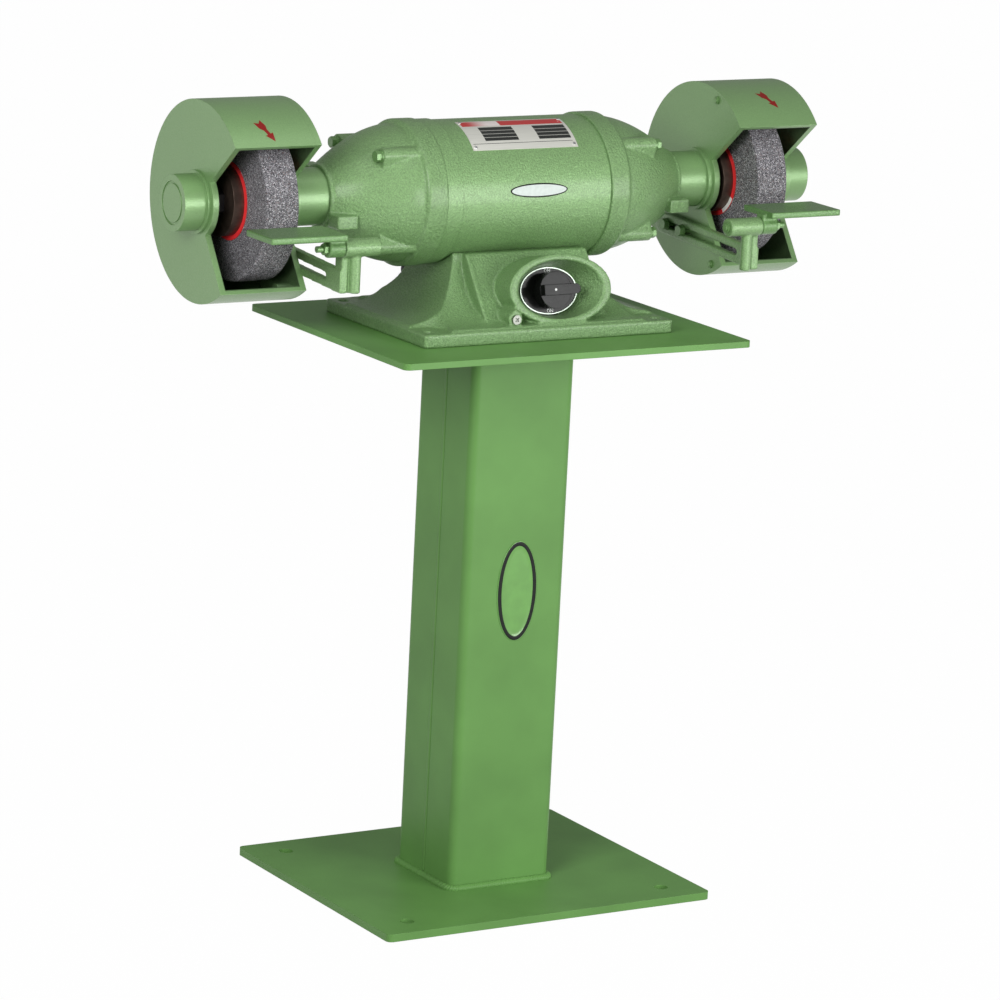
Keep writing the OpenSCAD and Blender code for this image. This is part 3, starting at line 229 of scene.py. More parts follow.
def ripple_tree():
    """Geometry nodes: flattened balls in a row along the piece's own outline."""
    tree = bpy.data.node_groups.new("weld_ripples", "GeometryNodeTree")
    face = tree.interface
    face.new_socket("Geometry", in_out="INPUT", socket_type="NodeSocketGeometry")
    face.new_socket("Pitch", in_out="INPUT", socket_type="NodeSocketFloat")
    face.new_socket("Radius", in_out="INPUT", socket_type="NodeSocketFloat")
    face.new_socket("Paint", in_out="INPUT", socket_type="NodeSocketMaterial")
    face.new_socket("Geometry", in_out="OUTPUT", socket_type="NodeSocketGeometry")
    entry, result = tree.nodes.new("NodeGroupInput"), tree.nodes.new("NodeGroupOutput")
    path = tree.nodes.new("GeometryNodeMeshToCurve")
    resample = tree.nodes.new("GeometryNodeResampleCurve")
    resample.mode = "LENGTH"
    tangent = tree.nodes.new("GeometryNodeInputTangent")
    turn = tree.nodes.new("FunctionNodeAlignRotationToVector")
    turn.axis = "X"
    ball = tree.nodes.new("GeometryNodeMeshIcoSphere")
    ball.inputs["Subdivisions"].default_value = ripple_detail
    flatten = tree.nodes.new("GeometryNodeTransform")
    flatten.inputs["Scale"].default_value = ripple_shape
    flatten.inputs["Rotation"].default_value = (0, ripple_lean, 0)
    wobble = tree.nodes.new("FunctionNodeRandomValue")
    wobble.data_type = "FLOAT"
    wobble.inputs["Min"].default_value = ripple_least
    wobble.inputs["Max"].default_value = ripple_most
    wobble.inputs["Seed"].default_value = ripple_seed
    row = tree.nodes.new("GeometryNodeInstanceOnPoints")
    real = tree.nodes.new("GeometryNodeRealizeInstances")
    smooth = tree.nodes.new("GeometryNodeSetShadeSmooth")
    paint = tree.nodes.new("GeometryNodeSetMaterial")
    join = tree.links.new
    join(entry.outputs["Geometry"], path.inputs[0])
    join(path.outputs[0], resample.inputs["Curve"])
    join(entry.outputs["Pitch"], resample.inputs["Length"])
    join(tangent.outputs[0], turn.inputs["Vector"])
    join(entry.outputs["Radius"], ball.inputs["Radius"])
    join(ball.outputs["Mesh"], flatten.inputs["Geometry"])
    join(resample.outputs[0], row.inputs["Points"])
    join(flatten.outputs[0], row.inputs["Instance"])
    join(turn.outputs[0], row.inputs["Rotation"])
    join(wobble.outputs[1], row.inputs["Scale"])
    join(row.outputs[0], real.inputs[0])
    join(real.outputs[0], smooth.inputs[0])
    join(smooth.outputs[0], paint.inputs["Geometry"])
    join(entry.outputs["Paint"], paint.inputs["Material"])
    join(paint.outputs[0], result.inputs[0])
    return tree


def rounded_loop(half_w, half_d, radius, height):
    """Closed outline of the column, as points in one plane."""
    points = []
    for sx, sy, start in ((1, 1, 0), (-1, 1, 90), (-1, -1, 180), (1, -1, 270)):
        for step in range(corner_steps + 1):
            turn = math.radians(start + 90 * step / corner_steps)
            points.append((sx * (half_w - radius) + radius * math.cos(turn),
                           sy * (half_d - radius) + radius * math.sin(turn), height))
    return points


ripples = ripple_tree()
for name, height in (("base_weld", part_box("base_weld")[0][2] + ball_inset),
                     ("top_weld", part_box("top_weld")[1][2] - ball_inset)):
    points = rounded_loop(column_half_w + ball_inset, column_half_d + ball_inset, column_corner_r,
                          height)
    outline = bpy.data.meshes.new(name + "_bead")
    outline.from_pydata(points, [(i, (i + 1) % len(points)) for i in range(len(points))], [])
    bead = link_piece(name + "_bead", outline, smooth=False)
    modifier = bead.modifiers.new("ripples", "NODES")
    modifier.node_group = ripples
    for label, value in (("Pitch", ripple_pitch), ("Radius", ball_radius), ("Paint", stand_paint)):
        modifier[ripples.interface.items_tree[label].identifier] = value
    settle(bead)
    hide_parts(name)
    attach(bead, "stand")

# Column badge. An oval domed resin badge stuck on the column: a black line near its edge
# runs round a plain green field. It carries nothing else.
badge_low, badge_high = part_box("column_badge")
line_black, field_green = (0.005, 0.007, 0.005), (0.120, 0.315, 0.060)
badge_line, tree, shader = new_material("badge_black", line_black, roughness=0.50, specular=0.20)
mottled(tree, shader, line_black, (object_noise(tree, 160, detail=3), 0), dark=0.7, light=1.6)
badge_field, tree, shader = new_material("badge_green", field_green, roughness=0.32, coat=0.4)
mottled(tree, shader, field_green, (object_noise(tree, 60, detail=2), 0), dark=0.93, light=1.07)
oval_steps = 96
LINE, FIELD = 0, 1


def solid_mesh(name, points, faces, inks=None):
    """Mesh whose faces all point outwards, with a material number for each face."""
    mesh = bpy.data.meshes.new(name)
    mesh.from_pydata(points, [], faces)
    if inks:
        mesh.polygons.foreach_set("material_index", inks)
    shape = bmesh.new()
    shape.from_mesh(mesh)
    bmesh.ops.recalc_face_normals(shape, faces=shape.faces)
    shape.to_mesh(mesh)
    shape.free()
    return mesh


def oval_shell(name, half_w, half_h, thickness, rings, place):
    """Raised oval made of rings: inset, share of the thickness, and ink of the band outside it."""
    points, faces, inks = [], [], []
    for inset, share, ink in rings:
        for i in range(oval_steps):
            turn = 2 * math.pi * i / oval_steps
            points.append(place((half_w - inset) * math.cos(turn), (half_h - inset) * math.sin(turn),
                                thickness * share))
    for ring in range(len(rings) - 1):
        for i in range(oval_steps):
            j = (i + 1) % oval_steps
            a, b = ring * oval_steps, (ring + 1) * oval_steps
            faces.append((a + i, a + j, b + j, b + i))
            inks.append(rings[ring + 1][2])
    last = (len(rings) - 1) * oval_steps
    points.append(place(0, 0, thickness * rings[-1][1]))
    for i in range(oval_steps):
        faces.append((last + i, last + (i + 1) % oval_steps, len(points) - 1))
        inks.append(rings[-1][2])
    faces.append(tuple(reversed(range(oval_steps))))
    inks.append(rings[-1][2])
    return solid_mesh(name, points, faces, inks)


badge_x, badge_z = (badge_low[0] + badge_high[0]) / 2, (badge_low[2] + badge_high[2]) / 2
badge_rings = [(0, 0, FIELD), (0, 0.5, FIELD), (0.0005, 0.85, FIELD), (0.0009, 0.85, FIELD),
               (0.0011, 0.94, LINE), (0.0062, 0.94, LINE), (0.0064, 0.85, FIELD), (0.0120, 0.97, FIELD),
               (0.0200, 1, FIELD)]
badge = link_piece("column_badge_face", oval_shell(
    "column_badge_face", (badge_high[0] - badge_low[0]) / 2, (badge_high[2] - badge_low[2]) / 2,
    badge_high[1] - badge_low[1], badge_rings,
    lambda across, rise, lift: (badge_x + across, badge_high[1] - lift, badge_z + rise)))
badge.data.materials.append(badge_line)
badge.data.materials.append(badge_field)
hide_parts("column_badge")
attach(badge, "stand")

# Casting paint. Lighter metallic hammer-finish enamel sprayed over rough iron castings. It
# dries in shallow dimples about two millimetres across, with fine bright flake in it.
cast_green = (0.190, 0.335, 0.135)


def hammer_finish(name, colour, dimple=400.0, depth=0.00050, grain=0.44):
    """Metallic enamel with dimples and flake, for castings and for what is painted with them."""
    made, tree, shader = new_material(name, colour, roughness=0.36, metallic=0.35, coat=0.35)
    shader.inputs["Coat Roughness"].default_value = 0.24
    cells = add(tree, "TexVoronoi", {"Vector": object_place(tree), "Scale": dimple, "Smoothness": 0.8},
                feature="SMOOTH_F1")
    both = add(tree, "Math", {0: (cells, "Distance"), 1: (object_noise(tree, 1400, detail=3), 0)},
               operation="ADD")
    flake = object_noise(tree, 620, detail=5, roughness=0.78)
    mottled(tree, shader, colour, (flake, 0), dark=1 - grain, light=1 + grain)
    roughness_between(tree, shader, (object_noise(tree, 500, detail=3), 0), low=0.32, high=0.50)
    add_bump(tree, shader, (both, 0), depth)
    return made


hammer_paint = hammer_finish("hammer_enamel", cast_green)
sand_cast_paint = hammer_finish("sand_cast_enamel", cast_green, dimple=330.0, depth=0.00095)

# Pedestal casting. A hollow grey-iron casting carries the motor: its foot, sweeps and switch
# cup run into each other through small radii, as a sand mould leaves them.
pedestal_grain = 0.0016
merge_within, soften_share = 1e-6, 0.5


def cast_skin(node, grain, material, passes, keep, body="stand"):
    """Softened copy in a CAD piece's place, with its voxel size and the share of its faces kept."""
    copied = nodes[node].data.copy()
    copied.materials.clear()
    merged = bmesh.new()
    merged.from_mesh(copied)
    bmesh.ops.remove_doubles(merged, verts=merged.verts, dist=merge_within)
    merged.to_mesh(copied)
    merged.free()
    piece = link_piece(node + "_skin", copied, material, smooth=False)
    skin = piece.modifiers.new("skin", "REMESH")
    skin.mode, skin.voxel_size = "VOXEL", grain
    soften = piece.modifiers.new("soften", "SMOOTH")
    soften.factor, soften.iterations = soften_share, passes
    piece.modifiers.new("thin", "DECIMATE").ratio = keep
    settle(piece)
    piece.data.shade_smooth()
    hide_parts(node)
    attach(piece, body)


cast_skin("pedestal_casting", pedestal_grain, sand_cast_paint, passes=2, keep=0.36)

# Fasteners below and inside. Zinc-plated hexagon bolts with washers come up through the top
# plate into the foot, and black socket screws hold the motor down on its saddle.
def plated(name, colour, glossy, dull, scale, metallic=1.0):
    """Metal whose gloss varies in soft clouds, with faint handling marks."""
    made, tree, shader = new_material(name, colour, roughness=(glossy + dull) / 2, metallic=metallic)
    mottled(tree, shader, colour, (object_noise(tree, scale, detail=4), 0), dark=0.88, light=1.08)
    roughness_between(tree, shader, (object_noise(tree, scale * 3, detail=3), 0), glossy, dull)
    add_bump(tree, shader, (object_noise(tree, scale * 9, detail=2), 0), depth=0.00002, edge=0.0004)
    return made


zinc = plated("zinc_plate", (0.56, 0.57, 0.55), glossy=0.22, dull=0.42, scale=90)
oxide = plated("black_oxide", (0.035, 0.035, 0.038), glossy=0.34, dull=0.55, scale=140, metallic=0.8)
dress(("mount_bolts", "mount_washers"), zinc)
dress(("shell_screws", "guard_hub_screws"), oxide)

# Rotary switch. A black phenolic switch sits in the cup. Its oval dial is let into a thin
# light metal ring and is printed ON above and below a glossy knob with a bar grip.
switch_lean = math.radians(14)
switch_across = Vector((1, 0, 0))
switch_up = Vector((0, math.sin(switch_lean), math.cos(switch_lean)))
switch_axis = Vector((0, -math.cos(switch_lean), math.sin(switch_lean)))


def moulded(name, colour, glossy, dull, scale, specular=0.5):
    """Moulded plastic: even colour, fine surface texture and patches that are rubbed smoother."""
    made, tree, shader = new_material(name, colour, roughness=(glossy + dull) / 2, specular=specular)
    mottled(tree, shader, colour, (object_noise(tree, scale, detail=3), 0), dark=0.75, light=1.35)
    roughness_between(tree, shader, (object_noise(tree, scale * 0.6, detail=2), 0), glossy, dull)
    add_bump(tree, shader, (object_noise(tree, scale * 7, detail=2), 0), depth=0.00003, edge=0.0008)
    return made


phenolic = moulded("black_phenolic", (0.006, 0.0065, 0.006), glossy=0.12, dull=0.22, scale=150,
                   specular=0.16)
dress(("switch_body", "switch_dial", "switch_knob"), phenolic)
dress(("dial_ring",), plated("dial_ring_metal", (0.42, 0.48, 0.42), glossy=0.30, dull=0.44, scale=120))
pointer_white = (0.72, 0.74, 0.72)
print_white, tree, shader = new_material("printed_white", pointer_white, roughness=0.42)
mottled(tree, shader, pointer_white, (object_noise(tree, 900, detail=3), 0), dark=0.90, light=1.06)


def reach(name):
    """How far a piece of the switch reaches along the switch's axis."""
    return max(vertex.co.dot(switch_axis) for vertex in nodes[name].data.vertices)


dial_low, dial_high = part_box("switch_dial")
dial_middle = (Vector(dial_low) + Vector(dial_high)) / 2
dial_face = dial_middle + (reach("switch_dial") - dial_middle.dot(switch_axis)) * switch_axis


def switch_point(across, rise, height):
    """A point in front of the dial's face, measured across it, up it, and along the axis."""
    return dial_face + across * switch_across + rise * switch_up + height * switch_axis


letter_h, letter_t, letter_rise, size_per_height = 0.0042, 0.00015, 0.0252, 1.4
for name, rise in (("dial_word_upper", letter_rise), ("dial_word_lower", -letter_rise)):
    word = bpy.data.curves.new(name, "FONT")
    word.body, word.size, word.extrude = "ON", letter_h * size_per_height, letter_t
    word.align_x, word.align_y, word.resolution_u = "CENTER", "CENTER", 4
    shaped = bpy.data.objects.new(name + "_curve", word)
    bpy.context.scene.collection.objects.link(shaped)
    graph = bpy.context.evaluated_depsgraph_get()
    letters = bpy.data.meshes.new_from_object(shaped.evaluated_get(graph))
    bpy.data.objects.remove(shaped)
    for vertex in letters.vertices:
        vertex.co = switch_point(vertex.co.x, rise + vertex.co.y, letter_t / 2 + vertex.co.z)
    letters.materials.clear()
    piece = link_piece(name, letters, print_white, smooth=False)
    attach(piece, "stand")

dot_r, dot_t, dot_across, dot_sides = 0.0016, 0.00015, -0.006, 24
knob_front = reach("switch_knob") - reach("switch_dial")
turns = [2 * math.pi * i / dot_sides for i in range(dot_sides)]
rim = [(dot_across + dot_r * math.cos(turn), dot_r * math.sin(turn)) for turn in turns]
dot_mesh = bpy.data.meshes.new("knob_dot")
dot_mesh.from_pydata([switch_point(a, b, knob_front + dot_t) for a, b in rim]
                     + [switch_point(a, b, knob_front) for a, b in rim], [],
                     [tuple(range(dot_sides)), tuple(reversed(range(dot_sides, dot_sides * 2)))]
                     + [(i, i + dot_sides, (i + 1) % dot_sides + dot_sides, (i + 1) % dot_sides)
                        for i in range(dot_sides)])
knob_dot = link_piece("knob_dot", dot_mesh, print_white, smooth=False)
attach(knob_dot, "switch_knob")

# Earth screw. A dull zinc-plated slotted screw with its washer, screwed into the small boss
# beside the switch cup.
dress(("earth_screw",), plated("dull_zinc", (0.30, 0.31, 0.28), glossy=0.36, dull=0.58, scale=160))

# Cable gland. A black nylon moulding that grips the cord where it comes in, screwed into the
# back of the casting.
dress(("cable_gland",),
      moulded("black_nylon", (0.014, 0.014, 0.015), glossy=0.40, dull=0.56, scale=260))

# Motor shell. A thick steel tube bored for the stator and painted with the castings. A
# raised machined band runs round its left end.
dress(("motor_shell",), hammer_paint)

# Stator and rotor. Varnished stacks of stamped electrical steel, with coils of enamelled
# copper wire in their slots.
def laminated(name, colour, sheets_per_metre):
    """Stack of thin stamped sheets, seen edge on along the spindle."""
    made, tree, shader = new_material(name, colour, roughness=0.42, metallic=0.8)
    sheets = add(tree, "TexWave", {"Vector": object_place(tree), "Scale": sheets_per_metre,
                                   "Distortion": 0.6}, wave_type="BANDS", bands_direction="X")
    mottled(tree, shader, colour, (sheets, "Fac"), dark=0.6, light=1.2, low=0.0, high=1.0)
    add_bump(tree, shader, (sheets, "Fac"), depth=0.00008, edge=0.0004)
    return made


dress(("stator_core", "rotor"), laminated("stamped_sheets", (0.20, 0.19, 0.18), sheets_per_metre=320))
wire_copper = (0.42, 0.14, 0.045)
copper_wire, tree, shader = new_material("enamelled_wire", wire_copper, roughness=0.30, metallic=0.7,
                                         coat=0.6)
strands = add(tree, "TexWave", {"Vector": object_place(tree), "Scale": 260.0, "Distortion": 3.0,
                                "Detail": 1.0}, wave_type="RINGS", rings_direction="X")
mottled(tree, shader, wire_copper, (strands, "Fac"), dark=0.55, light=1.25, low=0.0, high=1.0)
add_bump(tree, shader, (strands, "Fac"), depth=0.00030)
dress(("stator_windings",), copper_wire)

# End bells. Cast iron bells taper from the shell to the bearing nose, with four bolt bosses
# that die into the cone.
bell_grain = 0.0014
for name in ("left_end_bell", "right_end_bell"):
    cast_skin(name, bell_grain, sand_cast_paint, passes=2, keep=0.55)

# Bell bolts. Long hexagon bolts with washers go through the bosses into the shell, and are
# painted over with the machine.
fastener_green = (0.150, 0.290, 0.100)
fastener_paint = hammer_finish("fastener_enamel", fastener_green, dimple=600.0, depth=0.00010)
dress(("bell_bolts", "bell_washers"), fastener_paint)

# Name plate. Soft aluminium sheet wrapped on the shell, screen printed with a red header and
# two black columns of empty fields, and held by four rivets.
spindle_y, spindle_z = 0.030, 0.897
shell_r = 0.089
plate_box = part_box("nameplate")
plate_x0, plate_x1 = plate_box[0][0], plate_box[1][0]
plate_low, plate_high = math.radians(42), math.radians(79)
plate_r0, plate_r1 = shell_r + 0.00002, shell_r + 0.0008


def round_spindle(x, radius, angle):
    """A point at an angle above the horizontal, on the user's side of the spindle."""
    return (x, spindle_y - radius * math.cos(angle), spindle_z + radius * math.sin(angle))


def cut_finely(cuts, step):
    """The cuts, with more between them where they are further apart than a step."""
    fine = []
    for start, stop in zip(cuts, cuts[1:]):
        parts = max(1, math.ceil((stop - start) / step))
        fine += [start + (stop - start) * i / parts for i in range(parts)]
    return fine + [cuts[-1]]


print_left, print_right = 0.02, 0.98  # these are shares of the plate's width
field_sides = ((0.15, 0.47), (0.665, 0.97))
line_right = field_sides[1][1]
across_cuts = [0, print_left, *field_sides[0], *field_sides[1], print_right, 1]
header_top, header_foot = 0.03, 0.25  # these are shares of its height, from the top
row_cuts = [0.305, 0.425, 0.438, 0.540, 0.552, 0.650, 0.661, 0.755]
line_top, line_foot = 0.825, 0.838
down_cuts = [0, header_top, header_foot, *row_cuts, line_top, line_foot, 1]
BARE, RED, BLACK = 0, 1, 2


def plate_ink(u, v):
    """What is printed at a place on the plate."""
    if header_top < v < header_foot and print_left < u < print_right:
        return RED
    in_row = any(row_cuts[i] < v < row_cuts[i + 1] for i in range(0, len(row_cuts), 2))
    if in_row and any(left < u < right for left, right in field_sides):
        return BLACK
    if line_top < v < line_foot and print_left < u < line_right:
        return BLACK
    return BARE


def wrapped_sheet(name, us, vs, at, inner, outer, ink):
    """Thin sheet on the shell from lists of cuts, closed all round, with an ink for each face."""
    points, faces, inks = [], [], []
    columns, rows = len(us), len(vs)
    for lift in (outer, inner):
        for v in vs:
            points += [at(u, v, lift) for u in us]
    back = columns * rows
    for row in range(rows - 1):
        for column in range(columns - 1):
            a = row * columns + column
            faces.append((a, a + columns, a + columns + 1, a + 1))
            inks.append(ink((us[column] + us[column + 1]) / 2, (vs[row] + vs[row + 1]) / 2))
            faces.append((back + a, back + a + 1, back + a + columns + 1, back + a + columns))
            inks.append(0)
    for row in range(rows - 1):
        for a, flip in ((row * columns, False), (row * columns + columns - 1, True)):
            side = (a, back + a, back + a + columns, a + columns)
            faces.append(tuple(reversed(side)) if flip else side)
            inks.append(0)
    for column in range(columns - 1):
        for a, flip in ((column, True), ((rows - 1) * columns + column, False)):
            side = (a, back + a, back + a + 1, a + 1)
            faces.append(tuple(reversed(side)) if flip else side)
            inks.append(0)
    return solid_mesh(name, points, faces, inks)


def printed(name, colour, roughness=0.35, specular=0.5):
    """Screen ink on sheet metal, a little uneven and rubbed."""
    made, tree, shader = new_material(name, colour, roughness, coat=0.2, specular=specular)
    mottled(tree, shader, colour, (object_noise(tree, 700, detail=4, roughness=0.7), 0),
            dark=0.80, light=1.20)
    return made


plate_grey, header_ink, header_bare = (0.70, 0.70, 0.64), (0.42, 0.022, 0.020), (0.66, 0.60, 0.58)
sheet_metal, tree, shader = new_material("brushed_aluminium", plate_grey, roughness=0.34, metallic=0.45)
drawn = add(tree, "Mapping", {"Vector": object_place(tree), "Scale": (8.0, 900.0, 900.0)})
brush = add(tree, "TexNoise", {"Vector": (drawn, "Vector"), "Scale": 3.0, "Detail": 3.0})
mottled(tree, shader, plate_grey, (brush, 0), dark=0.90, light=1.06)
roughness_between(tree, shader, (brush, 0), low=0.26, high=0.44)
add_bump(tree, shader, (brush, 0), depth=0.00001, edge=0.0004)
fade_start, fade_full, fade_end = plate_x0 + 0.010, plate_x0 + 0.044, plate_x0 + 0.058
header_red, tree, shader = new_material("header_red", header_ink, roughness=0.36, coat=0.2)
along = add(tree, "SeparateXYZ", {0: object_place(tree)})
fade = add(tree, "MapRange", {"Value": (along, "X"), "From Min": fade_start, "From Max": fade_full},
           interpolation_type="SMOOTHSTEP")
band = add(tree, "Math", {0: (along, "X"), 1: fade_end}, operation="LESS_THAN")
bare_part = add(tree, "Math", {0: (fade, 0), 1: (band, 0)}, operation="MULTIPLY")
header_mix = add(tree, "Mix", {"Factor": (bare_part, 0), 6: (*header_ink, 1), 7: (*header_bare, 1)},
                 data_type="RGBA")
tree.links.new(header_mix.outputs[2], shader.inputs["Base Color"])
field_black = printed("field_black", (0.012, 0.014, 0.012))

widest_cut, tallest_cut = 0.08, 0.05
plate_mesh = wrapped_sheet(
    "name_plate", cut_finely(across_cuts, widest_cut), cut_finely(down_cuts, tallest_cut),
    lambda u, v, lift: round_spindle(plate_x0 + (plate_x1 - plate_x0) * u, lift,
                                     plate_high - (plate_high - plate_low) * v),
    plate_r0, plate_r1, plate_ink)
for ink in (sheet_metal, header_red, field_black):
    plate_mesh.materials.append(ink)
name_plate = link_piece("name_plate", plate_mesh, smooth=False)
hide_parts("nameplate")
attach(name_plate, "stand")
dress(("nameplate_rivets",),
      plated("rivet_aluminium", (0.80, 0.81, 0.81), glossy=0.16, dull=0.30, scale=150))

# Motor badge. A small oval enamelled badge low on the shell, pale with a dark line round it,
# and left bare.
pale_enamel = (0.47, 0.53, 0.50)
badge_pale, tree, shader = new_material("badge_pale", pale_enamel, roughness=0.36)
mottled(tree, shader, pale_enamel, (object_noise(tree, 220, detail=3), 0), dark=0.94, light=1.05)
shell_badge_low, shell_badge_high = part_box("motor_badge")
shell_badge_x = (shell_badge_low[0] + shell_badge_high[0]) / 2
shell_badge_half_w = (shell_badge_high[0] - shell_badge_low[0]) / 2
shell_badge_half_h, shell_badge_angle, shell_badge_t = 0.009, math.radians(7), 0.0006
shell_badge = link_piece("motor_badge_face", oval_shell(
    "motor_badge_face", shell_badge_half_w, shell_badge_half_h, shell_badge_t,
    [(0, 0, LINE), (0.0001, 0.7, LINE), (0.0003, 1, LINE), (0.0019, 1, LINE), (0.0021, 0.92, FIELD),
     (0.0035, 1, FIELD), (0.0070, 1, FIELD)],
    lambda across, rise, lift: round_spindle(shell_badge_x + across, shell_r + lift,
                                             shell_badge_angle + rise / shell_r)))
shell_badge.data.materials.append(badge_line)
shell_badge.data.materials.append(badge_pale)
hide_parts("motor_badge")
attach(shell_badge, "stand")

# Spindle and bearings. A ground steel spindle runs in two sealed ball bearings, pressed on
# to it and held in the bell noses, with a wave spring behind one of them.
ground = plated("ground_steel", (0.60, 0.61, 0.62), glossy=0.14, dull=0.30, scale=70)
# The shaft is given a dark brownish steel colour as painted shade: where it shows, inside the guards,
# it lies in shadow.
dress(("spindle_shaft",),
      plated("shaded_spindle_steel", (0.150, 0.135, 0.120), glossy=0.24, dull=0.42, scale=70))
dress(("bearing_outer_rings", "bearing_inner_rings", "bearing_balls", "preload_spring"), ground)
dress(("bearing_seals",),
      moulded("seal_rubber", (0.018, 0.018, 0.020), glossy=0.55, dull=0.72, scale=300))

# Clamping flanges. Turned steel flanges squeeze the wheel, dark with oil, with the fine
# rings of the facing tool on them.
oily_brown = (0.135, 0.095, 0.075)
flange_steel, tree, shader = new_material("turned_steel", oily_brown, roughness=0.36, metallic=0.85)
centred = add(tree, "Mapping", {"Vector": object_place(tree),
                                "Location": (0.0, -spindle_y, -spindle_z)}, vector_type="POINT")
tool_rings = add(tree, "TexWave", {"Vector": (centred, "Vector"), "Scale": 190.0, "Distortion": 0.15,
                                   "Detail": 0.0}, wave_type="RINGS", rings_direction="X")
mottled(tree, shader, oily_brown, (object_noise(tree, 60, detail=4), 0), dark=0.70, light=1.30)
roughness_between(tree, shader, (object_noise(tree, 120, detail=4), 0), low=0.26, high=0.50)
add_bump(tree, shader, (tool_rings, "Fac"), depth=0.00005, edge=0.0006)
dress(("inner_clamp_flanges", "outer_clamp_flanges"), flange_steel)

# Blotters. Discs of pressed red paper, stamped from sheet and pinched between each flange
# and the wheel, so that the steel doesn't bear on the grain.
paper_red = (0.80, 0.020, 0.024)
blotter_paper, tree, shader = new_material("pressed_paper", paper_red, roughness=0.78)
mottled(tree, shader, paper_red, (object_noise(tree, 1300, detail=5, roughness=0.75), 0),
        dark=0.72, light=1.18)
add_bump(tree, shader, (object_noise(tree, 2200, detail=4, roughness=0.7), 0),
         depth=0.00012, edge=0.0002)
dress(("blotters",), blotter_paper)

# Blotter patch. A scrap of plain white paper stuck on the right-hand blotter. It is left
# bare, and turns with the spindle.
patch_r0, patch_r1 = 0.0426, 0.0486
patch_from, patch_to = math.radians(-60), math.radians(-26)
right_wheel_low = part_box("right_wheel")[0]
blotter_t = 0.001
patch_x, patch_t = right_wheel_low[0] - blotter_t, 0.0001
patch_step, patch_white = math.radians(3), (0.78, 0.77, 0.74)
patch_paper, tree, shader = new_material("patch_paper", patch_white, roughness=0.8)
mottled(tree, shader, patch_white, (object_noise(tree, 800, detail=4), 0), dark=0.92, light=1.04)
patch = link_piece("blotter_patch", wrapped_sheet(
    "blotter_patch", cut_finely([patch_from, patch_to], patch_step), [patch_r0, patch_r1],
    lambda angle, radius, x: round_spindle(x, radius, angle), patch_x + patch_t / 2, patch_x - patch_t,
    lambda u, v: 0), patch_paper, smooth=False)
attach(patch, "spindle")

# Grinding wheels. Coarse grey vitrified grain, pressed and dressed true, with dark, bright
# and rust-tinged grains showing all over.
grain_grey = (0.245, 0.240, 0.250)
grain_tones = (  # share of the grains below this tone, and the tone
    (0.0, (0.022, 0.021, 0.024)), (0.18, (0.085, 0.082, 0.094)), (0.44, (0.180, 0.175, 0.190)),
    (0.74, (0.33, 0.32, 0.34)), (0.90, (0.60, 0.59, 0.61)), (0.97, (0.17, 0.10, 0.09)))
grit, tree, shader = new_material("coarse_grain", grain_grey, roughness=0.62)
grains = add(tree, "TexVoronoi", {"Vector": object_place(tree), "Scale": 1150.0, "Randomness": 1.0})
speck = add(tree, "SeparateColor", {0: (grains, "Color")})
tones = add(tree, "ValToRGB", {"Fac": (speck, 0)})
tones.color_ramp.interpolation = "CONSTANT"
for share, tone in grain_tones:
    stop = tones.color_ramp.elements.new(share) if share else tones.color_ramp.elements[0]
    stop.position, stop.color = share, (*tone, 1)
tones.color_ramp.elements.remove(tones.color_ramp.elements[-1])
tree.links.new(tones.outputs[0], shader.inputs["Base Color"])
roughness_between(tree, shader, (speck, 1), low=0.42, high=0.80)
pits = add(tree, "Math", {0: (grains, "Distance"), 1: (object_noise(tree, 2600, detail=3), 0)},
           operation="ADD")
add_bump(tree, shader, (pits, 0), depth=0.00050, edge=0.0004)

wheel_bore_r, wheel_corner, grain_step, grain_depth = 0.01256, 0.0012, 0.0018, 0.00022
rough_from_r, chip_scale, wheel_steps = 0.045, 420.0, 320
for node in ("left_wheel", "right_wheel"):
    low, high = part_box(node)
    wheel_r = (high[1] - low[1]) / 2 - grain_depth
    profile = [(low[0], wheel_bore_r), (low[0], wheel_r - wheel_corner),
               (low[0] + wheel_corner, wheel_r), (high[0] - wheel_corner, wheel_r),
               (high[0], wheel_r - wheel_corner), (high[0], wheel_bore_r)]
    fine = []
    for (xa, ra), (xb, rb) in zip(profile, profile[1:] + profile[:1]):
        parts = max(1, round(math.hypot(xb - xa, rb - ra) / grain_step))
        fine += [(xa + (xb - xa) * i / parts, ra + (rb - ra) * i / parts) for i in range(parts)]
    points = []
    for x, r in fine:
        for i in range(wheel_steps):
            turn = 2 * math.pi * i / wheel_steps
            outwards = Vector((0, math.cos(turn), math.sin(turn)))
            spot = Vector((x, spindle_y + r * math.cos(turn), spindle_z + r * math.sin(turn)))
            if r > rough_from_r and low[0] < x < high[0]:
                spot += outwards * (grain_depth * noise.noise(spot * chip_scale))
            points.append(spot)
    faces = []
    for ring in range(len(fine)):
        a, b = ring * wheel_steps, (ring + 1) % len(fine) * wheel_steps
        for i in range(wheel_steps):
            j = (i + 1) % wheel_steps
            faces.append((a + i, a + j, b + j, b + i))
    wheel = link_piece(node + "_grain", solid_mesh(node + "_grain", points, faces), grit)
    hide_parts(node)
    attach(wheel, "spindle")

# Spindle nuts. Hexagon nuts close the flanges on the wheels. Their black colour is painted
# shade, as they sit in the shadow inside the guards. The left one has a left-hand thread,
# so that neither works loose.
dress(("left_spindle_nut", "right_spindle_nut"), oxide)
